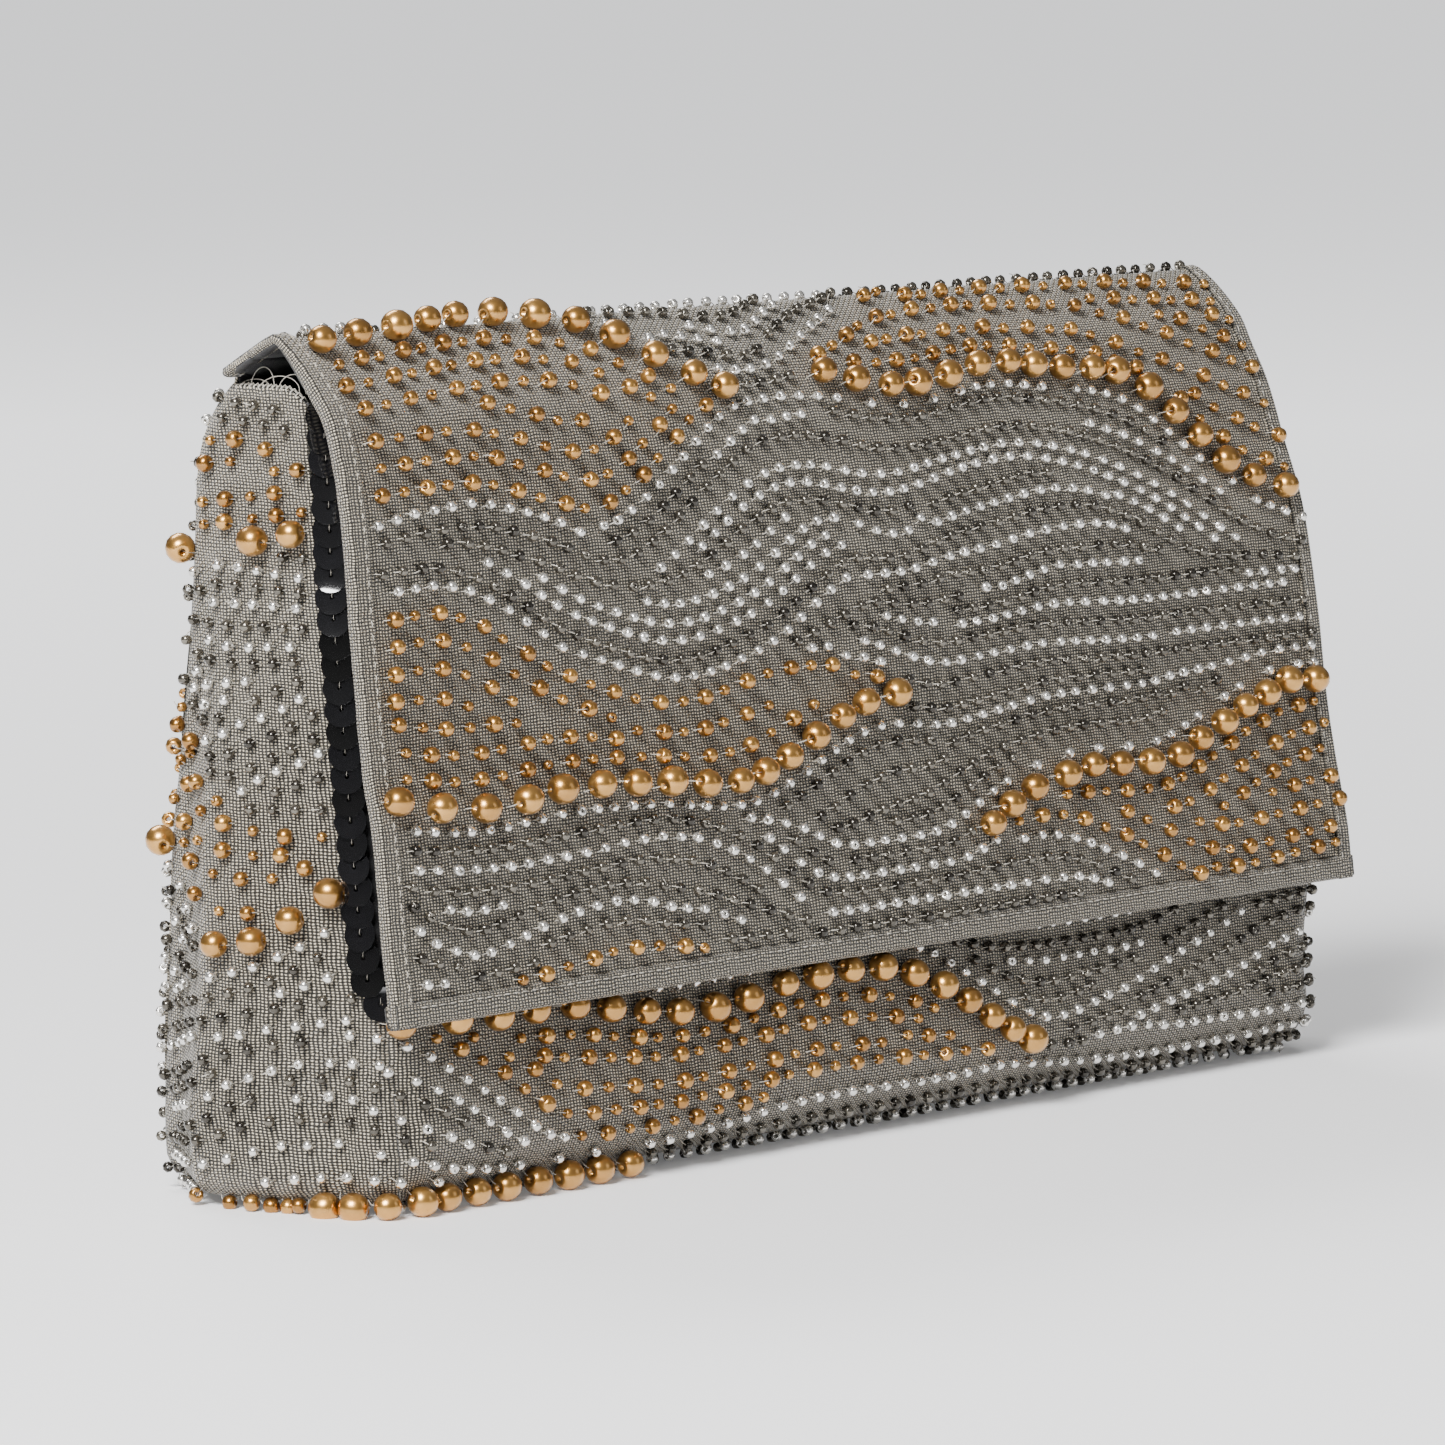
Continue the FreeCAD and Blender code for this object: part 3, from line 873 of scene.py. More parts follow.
def tubeAlong(bm, points, radius, sides):
    # a thin thread through points, closed at both ends
    layer = bm.verts.layers.float.get("tone") or bm.verts.layers.float.new("tone")
    tone = random.random()
    last = None
    for k, point in enumerate(points):
        ahead = points[min(k + 1, len(points) - 1)] - points[max(k - 1, 0)]
        turn = ahead.to_track_quat("Z", "Y").to_matrix().to_4x4()
        ring = bmesh.ops.create_circle(bm, cap_ends=k in (0, len(points) - 1), segments=sides, radius=radius,
                                       matrix=Matrix.Translation(point) @ turn)["verts"]
        for vert in ring:
            vert[layer] = tone
        edges = list(dict.fromkeys(e for v in ring for e in v.link_edges))
        if last:
            faces = bmesh.ops.bridge_loops(bm, edges=last + edges)["faces"]
            for face in faces:
                face.smooth = True
        last = edges


def stitchTemplate(name, size):
    # thread that runs through a bead and down into the cloth at both ends
    bm = bmesh.new()
    half, height = size["length"] / 2, size["radius"] * 0.95
    rise = [(half * 0.7, -0.1), (half + 0.3, -height * 0.6), (half + 0.5, -height - 0.15)]
    path = [(-x, z) for x, z in rise[::-1]] + rise
    tubeAlong(bm, [Vector((x, 0, z)) for x, z in path], 0.1, 4)
    mesh = bpy.data.meshes.new(name)
    bm.to_mesh(mesh)
    bm.free()
    return mesh


templates = {key: beadTemplate(key + "Bead", size) for key, size in beads.items()}
stitches = {key: stitchTemplate(key + "Stitch", size) for key, size in beads.items()}


# how loosely beads are sewn: degrees of turn and tilt, share that stands on end, spread of size
sewing = {"yaw": 12, "tilt": 8, "onEnd": 0.07, "onEndTilt": (60, 90), "sizes": (0.92, 1.08),
          "lift": 0.93, "pearlLift": 0.96, "pearlGap": 4.6, "pearlTone": 0.35, "pitches": (0.88, 1.12)}


def beadMatrix(place, facing, p, tangent, size, lift=sewing["lift"]):
    # hole along the row, a little askew as sewn beads are
    point, along, up, normal = surfaceFrame(place, facing, p.x, p.y)
    run = (along * tangent.x + up * tangent.y).normalized()
    across = normal.cross(run)
    turn = Matrix((run, across, normal)).transposed().to_4x4()
    yaw = Matrix.Rotation(math.radians(random.gauss(0, sewing["yaw"])), 4, "Z")
    tilt = Matrix.Rotation(math.radians(random.gauss(0, sewing["tilt"])), 4, "Y")
    if size in ("seed", "small") and random.random() < sewing["onEnd"]:
        tilt = Matrix.Rotation(math.radians(random.uniform(*sewing["onEndTilt"])), 4, "Y")
    scale = Matrix.Scale(random.uniform(*sewing["sizes"]), 4)
    centre = point + normal * beads[size]["radius"] * lift
    return Matrix.Scale(millimetre, 4) @ Matrix.Translation(centre) @ turn @ yaw @ tilt @ scale


def copyAll(name, items, material, slotName):
    # items are (template, matrix, tone); all copies become one piece
    bm = bmesh.new()
    for template, matrix, tone in items:
        one = template.copy()
        one.transform(matrix)
        count = len(one.vertices)
        one.attributes["tone"].data.foreach_set("value", [tone] * count)
        bm.from_mesh(one)
        bpy.data.meshes.remove(one)
    return finishPiece(name, bm, material)


finishes = {"gold": (goldFinish, "gold_bead"), "silver": (silverFinish, "silver_bead"),
            "dark": (darkFinish, "dark_bead"), "pearl": (goldFinish, "gold_bead")}


def sewBeads(region, plan, place, facing, regionOf, attach):
    rows = layRows(plan, regionOf)
    found = {kind: [] for kind in finishes}
    threads = []
    placed = []

    def sew(kind, size, p, tangent, lift=sewing["lift"], darkest=0.0):
        matrix = beadMatrix(place, facing, p, tangent, size, lift)
        found[kind].append((templates[size], matrix, random.uniform(darkest, 1)))
        threads.append((stitches[size], matrix, random.random()))

    level = Vector((1, 0))
    for p in [Vector(q) for q in plan.get("hangers", ())]:
        placed.append(p)
        sew("gold", "medium", p, level)
    for p in [Vector(q) for pearlRow in plan["guides"].get("pearl", ()) for q in pearlRow]:
        inside = regionOf(p) or abs(p.x) < plan.get("pearlReach", 0)
        if inside and all((p - q).length > sewing["pearlGap"] for q in placed):
            placed.append(p)
            sew("pearl", "pearl", p, level, sewing["pearlLift"], sewing["pearlTone"])
    for kind, points, area in rows:
        if kind == "pearl":
            continue
        along = random.uniform(0, 3)
        turn = random.randrange(2)
        while along < len(points) - 1.01:
            k = int(along)
            p = points[k].lerp(points[k + 1], along - k)
            size = "seed"
            if kind == "gold":
                turn += 1
                size = "medium" if turn % 2 else "small"
            reach = beads["pearl"]["radius"] + beads[size]["radius"]
            if all((p - q).length > reach for q in placed):
                sew(kind, size, p, (points[k + 1] - points[k]).normalized())
            along += beads[size]["pitch"] * random.uniform(*sewing["pitches"])
    pieces = []
    for kind, items in found.items():
        if items:
            pieces.append(copyAll(f"{region}{kind.capitalize()}Beads", items, *finishes[kind]))
    pieces.append(copyAll(f"{region}Stitches", threads, threadFinish, "thread"))
    for piece in pieces:
        attach(piece)
    print(region, {kind: len(items) for kind, items in found.items()})


# flap pattern: (x, height above the lower edge) in millimetres
flapPlan = {
    "pearlReach": 131, "left": -127.4, "right": 131.4, "low": 5.2, "high": flap["split"] - 0.5,
    "spacing": 3.3, "goldSpacing": 4.6, "shortest": 8,
    "guides": {
        "pearl": [
            [(-134, 118), (-126, 119), (-116, 120), (-105, 121), (-96, 122), (-88, 122.5), (-78, 122.5),
             (-68, 121.5), (-59, 119.5), (-52, 115.5), (-45, 110.7), (-37, 106.7), (-30, 104)],
            [(-1, 105.3), (7, 103.3), (16, 101.8), (24, 101.8), (34, 102.8), (44, 104.3), (53, 104.3),
             (60, 103.3), (68, 102.3), (77, 101.8), (84, 100.8), (92, 97.3), (98, 92.3), (104, 87.3),
             (110, 81.8), (117, 78.3), (126, 75.8)],
            [(-129.5, 38.3), (-119, 36.3), (-108, 35.3), (-97, 35.8), (-88, 36.8), (-78, 36.8),
             (-69, 36.3), (-60, 35.8), (-51, 34.6), (-42, 34.3), (-35, 35.3), (-28, 37.3), (-20, 40.3),
             (-12, 43.3), (-5, 45.3), (4, 46.3)],
            [(26, 20.3), (32, 23.3), (39, 25.8), (49, 27.3), (57, 28.3), (65, 27.8), (74, 27.3),
             (83, 27.8), (90, 30.3), (98, 32.8), (105, 35.3), (112, 37.3), (119, 39.3), (127, 38.8)]],
        "silver": [
            [(-125, 74), (-112, 74.5), (-104, 72.7), (-96, 69.3), (-89, 65.3), (-82, 61), (-73, 58.5),
             (-65, 56), (-56, 53.8), (-47, 53.7), (-40, 54.7), (-32, 56.5), (-24, 59), (-16, 63.2),
             (-8, 67), (-3, 68.8)],
            [(-127, 85.5), (-117, 87), (-109, 87.5), (-100, 88), (-86, 85), (-78, 82.5), (-71, 79)],
            [(-129, 18.5), (-123, 14), (-115, 11), (-111, 10.5), (-103, 12), (-95, 14), (-87, 15.5),
             (-78, 16.5), (-69, 16), (-61, 13.7), (-52, 12.5), (-45, 10), (-41, 9)],
            [(-125, 26.5), (-115, 25.5), (-102, 25), (-82, 25.5), (-72, 26.3), (-62, 26.5), (-54, 25.5),
             (-46, 23), (-38, 19.3), (-31, 14.5), (-24, 9.5)],
            [(-30, 118), (-23, 116), (-19, 115.5), (-15, 115.5), (-11, 117), (-7, 119), (-1, 121.5)],
            [(-37, 91.5), (-33, 93.5), (-28, 96), (-23, 98), (-17, 97.5), (-12, 98.3), (-8, 98),
             (-5, 96.7)],
            [(0, 77.5), (4, 76), (8, 75), (12, 74.8), (16, 76), (19, 78.5)],
            [(32, 63.5), (37, 63), (46, 64.5), (55, 66), (63, 65.5)],
            [(72, 92), (84, 88.5), (96, 83), (108, 76)],
            [(86, 51), (100, 51), (112, 51), (127, 51)]],
        "dark": [[(-40, 113), (-30, 111.5), (-20, 110), (-11, 112)], [(24, 126.4), (80, 126.2),
                                                                      (131, 126)],
                 [(24, 129.3), (80, 129.2), (131, 129.1)]],
        "gold": [[(-106, 5), (-98, 5.5), (-89, 6.5), (-76, 8), (-66, 7.5), (-58, 6.5), (-50, 5)]],
        "flow": [
            [(-133, 89), (-110, 90), (-95, 90), (-85, 87), (-70, 84), (-63, 85.5), (-55, 89), (-45, 95),
             (-35, 101), (-29, 104)],
            [(-5, 108), (7, 114), (14, 116.5), (20, 120), (34, 124), (60, 125), (100, 124), (131, 121)],
            [(20, 113), (50, 114), (80, 112), (104, 104), (131, 94)],
            [(-126, 70.5), (-113, 71.5), (-102, 68.5), (-92, 63), (-83, 58.5), (-73, 55), (-66, 52.5),
             (-56, 50.5), (-45, 51), (-31, 53.5), (-20, 53.8), (-10, 53), (0, 52), (8, 48)],
            [(31, 18), (41, 18.5), (48, 18), (53, 16.5), (61, 13.5), (67, 11.5), (72, 9), (80, 5),
             (85, 2.5), (97, 1), (130, 3)],
            [(-131, 127.5), (-60, 127.5), (0, 127.5), (20, 127.5)],
            [(30, 52), (50, 53), (70, 52)], [(30, 40), (50, 42), (70, 42)],
            [(-130, 5), (-60, 5), (0, 5), (30, 5), (50, 5)]],
    },
    "gold": [
        [(-134, 121.5), (-124, 121), (-101, 124), (-66, 123), (-57, 121), (-50, 117), (-43, 112),
         (-28, 105), (-29, 103.5), (-35, 101), (-45, 95), (-55, 89), (-63, 85.5), (-70, 84), (-85, 87),
         (-95, 90), (-110, 90), (-134, 89)],
        [(-5, 108), (7, 114), (14, 116.5), (20, 121), (22, 125), (134, 124.6), (134, 75.5), (128, 76.5),
         (119, 79), (112, 82.5), (100, 93), (94, 98), (86, 101.5), (70, 103), (55, 105), (46, 105),
         (26, 102.5), (9, 104)],
        [(-134, 70.5), (-113, 71.5), (-102, 68.5), (-92, 63), (-83, 58.5), (-73, 55), (-66, 52.5),
         (-56, 50.5), (-45, 51), (-31, 53.5), (-20, 53.8), (-10, 53), (0, 52), (9, 48), (6, 47), (-3, 46),
         (-18, 41), (-33, 36), (-49, 35.3), (-67, 37), (-86, 37.5), (-106, 36), (-134, 40)],
        [(28, 21), (34, 24), (51, 28), (67, 28.5), (85, 28.5), (92, 31), (107, 36), (121, 40),
         (134, 39.5), (134, 2), (97, 1), (85, 2.5), (72, 9), (61, 13.5), (48, 18), (31, 18)]],
}


def goldOrField(p, plan):
    return "gold" if any(inPolygon(p, shape) for shape in plan["gold"]) else "field"


def flapRegion(p):
    if not flapPlan["left"] < p.x < flapPlan["right"] or not flapPlan["low"] < p.y < flapPlan["high"]:
        return None
    return goldOrField(p, flapPlan)


def attachFlap(piece):
    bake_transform(piece)


sewBeads("flap", flapPlan, flapPoint, 1, flapRegion, attachFlap)


# front below the flap and both ends. Rows on the ends are (y, z) as seen from the front left,
# where the bulge of an end shows as a shift in depth; the right end mirrors the left one
sidePlan = {"offset": 0.9, "swellShift": 0.88, "tries": 12}


def onSide(points, side):
    result = []
    for y, z in points:
        low = max(z, bag["frontCorner"][2])
        corner, front = frontCorner(low), endFront(low, side)
        start = far = y - sidePlan["offset"] - front - corner
        for count in range(sidePlan["tries"]):
            far = start - sidePlan["swellShift"] * bulge(low, min(far / endDepth(low, front), 1))
        result.append((side * (bag["halfWidth"] - corner + corner * math.pi / 2 + far), z))
    return result


sidePearls = [[(24.5, 112.6), (6.2, 115.2), (-2.8, 116.9)], [(29, 61.5), (15.3, 46), (7, 47), (-1.5, 51),
                                                             (-10.5, 56)]]
sideSilver = [
    [(17, 110.5), (11.5, 110.5), (5, 110), (-0.5, 109.7), (-5.5, 109.3)],
    [(18, 97.5), (14, 96.7), (8.5, 96.8), (2.5, 97.4), (-3, 97.6), (-7, 97)],
    [(19, 80), (14, 82), (10, 84), (3.5, 85.5), (-2, 88), (-7.5, 91)],
    [(12.5, 71), (5.5, 75), (0, 77), (-5.5, 78.5), (-10, 81)],
    [(20, 39.5), (12, 41.5), (6, 43), (1.7, 44.7), (-3, 46.5), (-8.5, 49), (-13, 52)],
    [(17, 30), (9, 31.2), (4, 32.3), (-1.5, 33), (-7.7, 33.8), (-13, 34.5), (-17.5, 34.7)],
    [(27, 15), (20, 18.5), (15.5, 21.5), (12, 22.7), (8.5, 23.7), (4, 25), (-0.5, 26.3), (-7, 27),
     (-12.5, 27), (-17, 27), (-22, 26.9)],
    [(27, 7), (20, 8), (12, 10), (8, 11), (5, 11.7), (-0.5, 12.3), (-6.3, 12.2), (-11, 12.8), (-16, 13)]]
sideFlow = [[(19, 118.5), (8, 120), (-6, 122)], [(19, 131), (5, 133), (-5, 135.5)],
            [(30, 92), (24, 82), (19, 72), (14, 69), (8, 67), (0, 66), (-12, 66)],
            [(22, 60), (13, 58), (2, 58), (-10, 62)], [(18, 103), (4, 103.5), (-6, 103.5)]]
sideHangers = [(1.2, 1.8), (4.2, 1.2), (8.1, 1.2), (12.1, 1.8), (17.7, 1.2), (23.5, 2.2)]
sideDark = [[(17, 139), (5, 138.2), (-8, 136.4)], [(17, 136), (5, 135.2), (-8, 133.4)]]
sideGold = [[(20, 113), (8.5, 115), (-1.5, 116.8), (-9, 118), (-9, 132), (4, 133.6), (20, 134.4)],
            [(34, 96), (26, 91), (21, 80), (18, 71), (14, 69.5), (8, 67), (0, 66), (-14, 66), (-13, 55),
             (-10.5, 56), (-1.5, 51), (7, 47), (15.3, 46), (22, 51), (29, 61.5), (34, 64)]]

wallPlan = {
    "underFlap": 34.5,        # the front has no beads above this
    "spacing": 3.2, "goldSpacing": 3.8, "shortest": 7,
    "hangers": onSide(sideHangers, -1) + onSide(sideHangers, 1),
    "guides": {
        "dark": [],
        "pearl": [
            [(-127, 34.1), (-115, 33.4), (-104.5, 32.8), (-95, 32.8), (-85, 32.5), (-76, 31), (-67, 29.5),
             (-58.5, 28.5), (-49, 28.3), (-40, 29), (-30, 30.5), (-21, 31), (-12, 31), (-3, 30.5),
             (5.5, 28.5), (13.5, 25.5), (20, 22), (26, 18.5), (31.5, 15.5), (37, 13.5)],
            [(-141.8, 2.8), (-136.1, 3.1), (-130.4, 3.4), (-123, 3.3), (-115, 3.2), (-107.5, 3.2),
             (-100, 3.2), (-92, 3.2), (-84, 3.2), (-76, 3.2), (-68, 3.2)]],
        "silver": [
            [(-131, 26.5), (-126, 25), (-122, 23), (-118, 21), (-113, 18.5), (-108, 15), (-104, 13),
             (-98, 10.5)],
            [(-131, 19), (-127, 17.5), (-124, 16), (-121, 15), (-117, 13.5), (-113, 12)],
            [(-131, 11.5), (-124, 10), (-115, 8), (-104, 6.5), (-92, 6.3), (-80, 6.3), (-70, 6), (-60, 6),
             (-50, 7), (-40, 8), (-30, 9), (-20, 9.5), (-8, 9.5), (5, 9), (20, 9), (30, 9.5), (40, 8.7),
             (52, 7.5), (64, 6.7), (78, 6.2), (92, 6.2), (108, 6.5), (122, 7)],
            [(8.5, 33), (14, 31), (18.5, 28.5), (24.5, 25.5), (30, 22.3), (36, 19), (41, 16.8),
             (47, 16.3), (53, 17), (60, 18.4), (67, 19.5), (76, 22), (86, 25), (95, 27.5), (104, 30.5)],
            [(34, 27.8), (43, 27), (56, 27), (68, 27), (77, 27.5)],
            [(58, 12), (70, 12.5), (80, 11.3), (95, 11.2), (108, 10.8), (122, 11)],
            [(70, 14), (85, 16.5), (99, 19), (112, 23), (124, 25)]],
        "flow": [
            [(-125, 35), (-118, 28.5), (-110, 24), (-102, 19.5), (-95, 14), (-88, 10.5)],
            [(-80, 20), (-60, 18), (-40, 18.5), (-20, 20), (0, 18.5), (15, 16)],
            [(-85, 12.5), (-60, 12), (-30, 13), (0, 13), (25, 12)],
            [(-130, -1), (0, -1), (130, -1)], [(100, 34), (125, 35)], [(-60, 36), (0, 37), (60, 36)]],
    },
    "gold": [
        [(-125, 33), (-118, 28.5), (-110, 24), (-102, 19.5), (-95, 14), (-88, 10.5), (-80, 8.5), (-60, 8),
         (-45, 10), (-30, 11.5), (-15, 12), (5, 11.5), (25, 11), (37, 12.5), (31, 15.5), (20, 22),
         (13.5, 25.5), (5.5, 28.5), (-3, 30.5), (-21, 31), (-49, 28.3), (-76, 31), (-95, 32.8),
         (-115, 32.8)]],
}
for side in (-1, 1):
    for kind, rows in (("pearl", sidePearls), ("silver", sideSilver), ("dark", sideDark), ("flow", sideFlow)):
        for row in rows:
            path = onSide(row, side)
            wallPlan["guides"][kind].append(path if side < 0 or kind == "pearl" else path[::-1])
    wallPlan["gold"] += [onSide(shape, side) for shape in sideGold]


def wallRegion(p):
    z, far = p.y, abs(p.x)
    farEnd = farEnds[-1 if p.x < 0 else 1](z)
    if z < wallFoot(p.x) + 1.0 or far > farEnd - 0.3 or z > sideTop(p.x) - 1.3:
        return None
    if z > wallPlan["underFlap"] and far < cornerSplit(z) + bevelEdge(z) + 1.0:
        return None
    return goldOrField(p, wallPlan)


sewBeads("wall", wallPlan, wallPoint, 1, wallRegion, lambda piece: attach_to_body(piece, "body"))

# the back repeats the flap's motifs higher up; its first part of the flap has plain rows
rise = 22.0


def raised(rows):
    return [[(x, t + rise) for x, t in row] for row in rows]


backPlan = {
    "spacing": 3.5, "goldSpacing": 4.6, "shortest": 9,
    "guides": {
        "pearl": raised(flapPlan["guides"]["pearl"][1:]),
        "silver": raised(flapPlan["guides"]["silver"][:4] + flapPlan["guides"]["silver"][6:])
        + [[(-128, 146), (0, 146), (128, 146)], [(-125, 9), (-60, 12), (0, 8), (60, 12), (125, 9)]],
        "flow": raised(flapPlan["guides"]["flow"][1:5]) + [[(-128, -2), (128, -2)], [(-128, 139),
                                                                                     (0, 139)],
                                                          [(-128, 122), (-60, 118), (0, 121)]],
    },
    "gold": raised(flapPlan["gold"][1:]),
}


def backRegion(p):
    end = backEnd(p.y) if p.y < bag["hinge"] else 127.0
    if abs(p.x) > end - 1.2 or not foldEnd(backFold(p.x)) + 1 < p.y < backTop - 0.8:
        return None
    return "field" if p.y > 140.5 else goldOrField(p, backPlan)


sewBeads("back", backPlan, backPoint, -1, backRegion,
         lambda piece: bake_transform(piece))


def basePlace(x, y):
    return Vector((x, y, bag["floorGap"]))


basePlan = {"spacing": 4.2, "goldSpacing": 4.2, "shortest": 8,
            "guides": {"silver": [[(-118, -8), (0, -8), (118, -8)]], "dark": [[(-118, 8), (0, 8),
                                                                               (118, 8)]],
                       "flow": [[(-118, 0), (118, 0)]]},
            "halfLength": 122, "front": -12.5, "back": 22}


def baseRegion(p):
    inside = abs(p.x) < basePlan["halfLength"] and basePlan["front"] < p.y < basePlan["back"]
    return "field" if inside else None


sewBeads("base", basePlan, basePlace, -1, baseRegion, lambda piece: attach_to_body(piece, "body"))
print("beads sewn")


# sequins down the corner between the ends and the flap
sequin = {"radius": 3.0, "hole": 0.4, "thickness": 0.1, "pitch": 3.75, "tilt": -6.0, "cup": 0.14,
          "sharp": 0.6, "first": 37.5, "last": {-1: 141.0, 1: 135.5}, "inset": 2.8, "lift": 0.75,
          "tiltSpread": 3, "rollSpread": 6, "pitches": (0.93, 1.07), "tie": (0, 0.55, 0.35), "tieSize": 0.42}


def sequinTemplate():
    # a slightly cupped disc with a hole
    middle, drop = sequin["cup"] * 0.25, sequin["thickness"]
    section = [(sequin["hole"], 0), (sequin["radius"] * 0.6, middle), (sequin["radius"], sequin["cup"]),
               (sequin["radius"], sequin["cup"] - drop), (sequin["radius"] * 0.6, middle - drop),
               (sequin["hole"], -drop)]
    return spunShape("sequinShape", section, (0, 0, 1), 24, sequin["sharp"])


sequinShape = sequinTemplate()
upright = Matrix.Rotation(math.pi / 2, 4, "Z")
tieTurn = Matrix.Translation(sequin["tie"]) @ upright @ Matrix.Scale(sequin["tieSize"], 4)
for side, word in sideWords.items():
    discs, ties = [], []
    z = sequin["first"]
    while z < sequin["last"][side]:
        u = side * (cornerSplit(z) + bevelEdge(z) - sequin["inset"])
        point, along, up, normal = surfaceFrame(wallPoint, 1, u, z)
        turn = Matrix((along, normal.cross(along), normal)).transposed().to_4x4()
        tilt = sequin["tilt"] + random.uniform(-sequin["tiltSpread"], sequin["tiltSpread"])
        lean = Matrix.Rotation(math.radians(tilt), 4, "X")
        turned = random.uniform(-sequin["rollSpread"], sequin["rollSpread"])
        roll = Matrix.Rotation(math.radians(turned), 4, "Y")
        centre = Matrix.Translation(point + normal * sequin["lift"])
        matrix = Matrix.Scale(millimetre, 4) @ centre @ turn @ lean @ roll
        discs.append((sequinShape, matrix, random.random()))
        ties.append((stitches["seed"], matrix @ tieTurn, 0.1))
        z += sequin["pitch"] * random.uniform(*sequin["pitches"])
    band = copyAll(f"sequins{word}", discs, sequinFinish, "sequin")
    tied = copyAll(f"sequinStitches{word}", ties, threadFinish, "thread")
    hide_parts(f"sequin_band_{word.lower()}")
    for piece in (band, tied):
        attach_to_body(piece, "body")
print("sequins sewn")


# thread: border stitching, raw lining edge at the mouth and a few loose loops
def threadPiece(name, paths, radius, attach, sides=5):
    bm = bmesh.new()
    for path in paths:
        tubeAlong(bm, [p * millimetre for p in path], radius * millimetre, sides)
    bmesh.ops.recalc_face_normals(bm, faces=bm.faces[:])
    attach(finishPiece(name, bm, threadFinish))


borderStitch = {"inset": 3.3, "length": 1.3, "pitch": 2.3, "radius": 0.12, "lift": 0.62,
                "humps": (-0.12, 0.1, 0.1, -0.12), "from": 4.0,
                "to": {"left": 125.0, "right": 125.0, "lower": 259.0}}
paths = []
for edge, last in borderStitch["to"].items():
    s = borderStitch["from"]
    inset = borderStitch["inset"]
    while s < last:
        path = []
        for k, hump in enumerate(borderStitch["humps"]):
            place = s + borderStitch["length"] * k / 3
            x, t = {"left": (-half + inset, place), "right": (half - inset, place),
                    "lower": (place - half + 2, inset)}[edge]
            point, along, up, normal = surfaceFrame(flapPoint, 1, x, t)
            path.append(point + normal * (borderStitch["lift"] + hump))
        paths.append(path)
        s += borderStitch["pitch"]
threadPiece("borderStitching", paths, borderStitch["radius"], attachFlap, 4)

# the mouth of the left end: a thread along its rim, oversewn, with a few loose loops
mouth = {"height": 141, "turns": 16, "steps": 40, "radius": 0.16, "looseRadius": 0.09, "loopSteps": 14}
mouthStart = cornerSplit(mouth["height"])
mouthLength = sideEnd(mouth["height"]) - mouthStart - 4


def atMouth(distance, drop=0.0):
    u = -(mouthStart + distance)
    return surfaceFrame(wallPoint, 1, u, sideTop(u) - drop)


rimPath = []
for k in range(mouth["steps"] + 1):
    point, along, up, normal = atMouth(3 + k * mouthLength / mouth["steps"])
    rimPath.append(point - normal * 0.9 + up * (0.25 + 0.15 * noise.noise(Vector((k * 0.7, 0, 3)))))
paths = [rimPath]
for k in range(mouth["turns"]):
    point, along, up, normal = atMouth(3 + k * mouthLength / mouth["turns"])
    paths.append([point - normal * 0.3 + up * -0.8, point + normal * 0.05 + up * 0.1,
                  point - normal * 0.8 + up * 0.6 + along * 0.2,
                  point - normal * 1.6 - up * 0.4 + along * 0.3])
threadPiece("rimStitching", paths, mouth["radius"], lambda piece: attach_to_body(piece, "body"))

paths = []
for start, spread, height in ((6.0, 3.0, 3.2), (9.0, 4.5, 2.6), (13.0, 2.5, 4.0), (15.0, 3.5, 1.8)):
    point, along, up, normal = atMouth(start, 0.6)
    path = []
    for k in range(mouth["loopSteps"] + 1):
        a = math.pi * 1.15 * k / mouth["loopSteps"]
        path.append(point - normal * (1.4 + 0.8 * math.sin(a * 1.3)) + along * spread * math.cos(a)
                    + up * (height * math.sin(a)))
    paths.append(path)
threadPiece("looseThreads", paths, mouth["looseRadius"], lambda piece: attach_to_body(piece, "body"), 4)
print("thread laid")

# hidden magnets keep the CAD shape
for node in ("front_magnet", "flap_magnet"):
    for thing in bpy.data.objects:
        if thing.name == node:
            for holder in thing.material_slots:
                holder.material = steelFinish


# room, light and camera
studio = {
    "floorSize": 6.0, "floorColour": (0.9, 0.9, 0.91), "floorRoughness": 0.7,
    # the floor's glow is painted light: faint near the bag, bright far off
    "glowColour": (0.97, 0.98, 1), "glowFrom": 0.3, "glowTo": 1.6, "glowNear": 0.12, "glowFar": 0.95,
    "skyColour": (1, 1, 1), "skyFrom": 0.0, "skyTo": 0.9, "horizon": 0.05, "zenith": 0.28,
    # place, target, size and power
    "keySoftbox": ((-1.5, -0.5, 1.4), (0, 0, 0.07), (0.75, 0.75), 105.0),
    "fillSoftbox": ((0.7, -1.6, 0.8), (0, 0, 0.07), (0.6, 0.9), 2.5),
    "backSoftbox": ((0.4, 1.3, 1.5), (0, 0, 0.1), (1.2, 0.5), 24.0),
    "camera": (-1.2031, -1.04595, 0.25525), "ahead": (0.74506, 0.65725, -0.11355),
    "lens": 219.25, "sensor": 36.0, "nearest": 0.05,
}


def aimed(place, ahead):
    return Matrix.Translation(place) @ Vector(ahead).to_track_quat("-Z", "Y").to_matrix().to_4x4()


def ramp(nodes, links, value, fromRange, toRange):
    node = nodes.new("ShaderNodeMapRange")
    for name, setting in zip(("From Min", "From Max", "To Min", "To Max"), (*fromRange, *toRange)):
        node.inputs[name].default_value = setting
    links.new(value, node.inputs["Value"])
    return node.outputs[0]


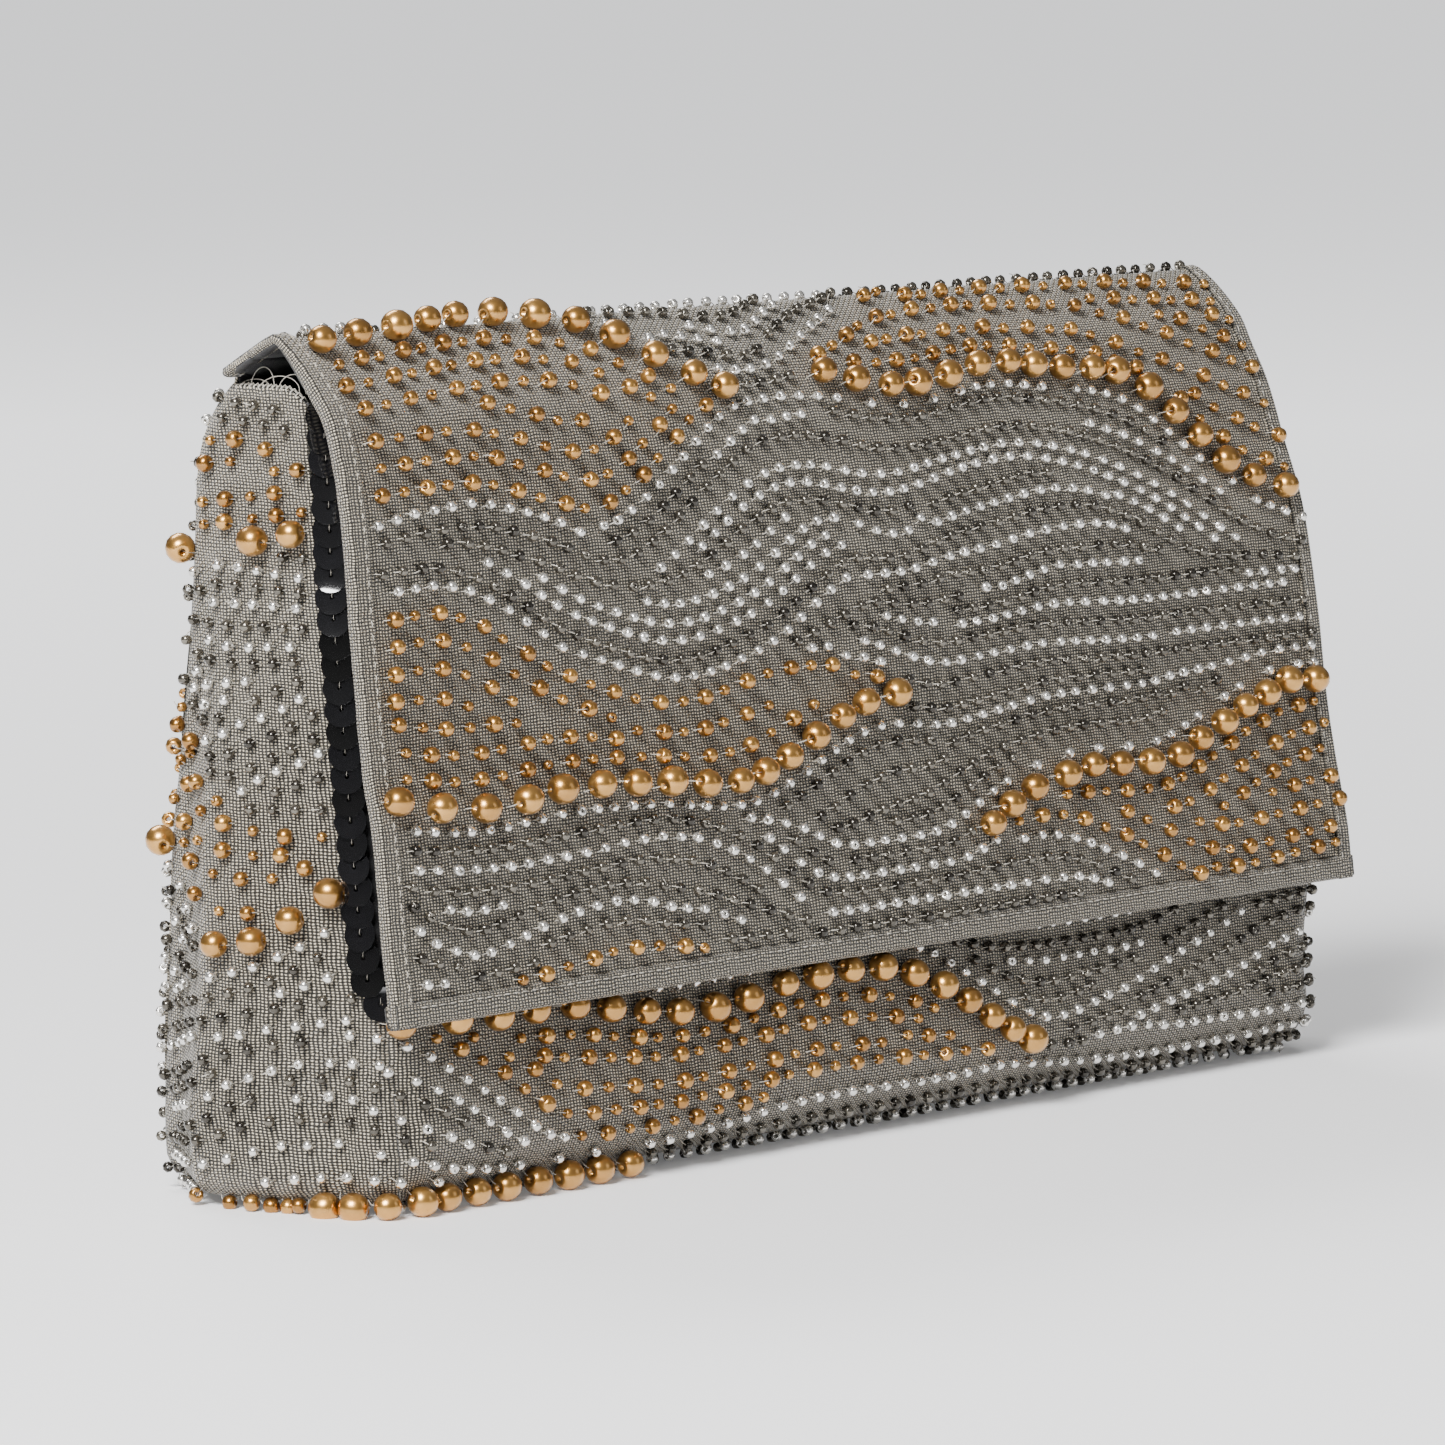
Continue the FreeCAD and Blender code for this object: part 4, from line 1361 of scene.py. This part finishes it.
floorMesh = bpy.data.meshes.new("floor")
bm = bmesh.new()
bmesh.ops.create_grid(bm, x_segments=2, y_segments=2, size=studio["floorSize"])
bm.to_mesh(floorMesh)
bm.free()
floor = bpy.data.objects.new("floor", floorMesh)
bpy.context.scene.collection.objects.link(floor)
floorLook, nodes, links, shader = newMaterial("paleGlowingFloor")
shader.inputs["Base Color"].default_value = (*studio["floorColour"], 1)
shader.inputs["Roughness"].default_value = studio["floorRoughness"]
# painted light: the floor glows though it is no lamp, lighting the bag from below and whitening the backdrop
shader.inputs["Emission Color"].default_value = (*studio["glowColour"], 1)
floorPlace = nodes.new("ShaderNodeTexCoord")
floorReach = nodes.new("ShaderNodeVectorMath")
floorReach.operation = "LENGTH"
links.new(floorPlace.outputs["Object"], floorReach.inputs[0])
glow = ramp(nodes, links, floorReach.outputs["Value"], (studio["glowFrom"], studio["glowTo"]),
            (studio["glowNear"], studio["glowFar"]))
links.new(glow, shader.inputs["Emission Strength"])
floorMesh.materials.append(floorLook)

world = bpy.data.worlds.new("studio")
world.use_nodes = True
skyNodes, skyLinks = world.node_tree.nodes, world.node_tree.links
skyPlace = skyNodes.new("ShaderNodeTexCoord")
skySplit = skyNodes.new("ShaderNodeSeparateXYZ")
skyLinks.new(skyPlace.outputs["Generated"], skySplit.inputs[0])
skyGlow = ramp(skyNodes, skyLinks, skySplit.outputs[2], (studio["skyFrom"], studio["skyTo"]),
               (studio["horizon"], studio["zenith"]))
skyNodes["Background"].inputs[0].default_value = (*studio["skyColour"], 1)
skyLinks.new(skyGlow, skyNodes["Background"].inputs[1])
bpy.context.scene.world = world

for name in ("keySoftbox", "fillSoftbox", "backSoftbox"):
    place, target, size, power = studio[name]
    light = bpy.data.lights.new(name, "AREA")
    light.shape = "RECTANGLE"
    light.size, light.size_y = size
    light.energy = power
    holder = bpy.data.objects.new(name, light)
    holder.matrix_world = aimed(place, Vector(target) - Vector(place))
    bpy.context.scene.collection.objects.link(holder)

cameraData = bpy.data.cameras.new("camera")
cameraData.lens = studio["lens"]
cameraData.sensor_width = studio["sensor"]
cameraData.clip_start = studio["nearest"]
camera = bpy.data.objects.new("camera", cameraData)
camera.matrix_world = aimed(studio["camera"], studio["ahead"])
bpy.context.scene.collection.objects.link(camera)
bpy.context.scene.camera = camera
print("room, light and camera set")
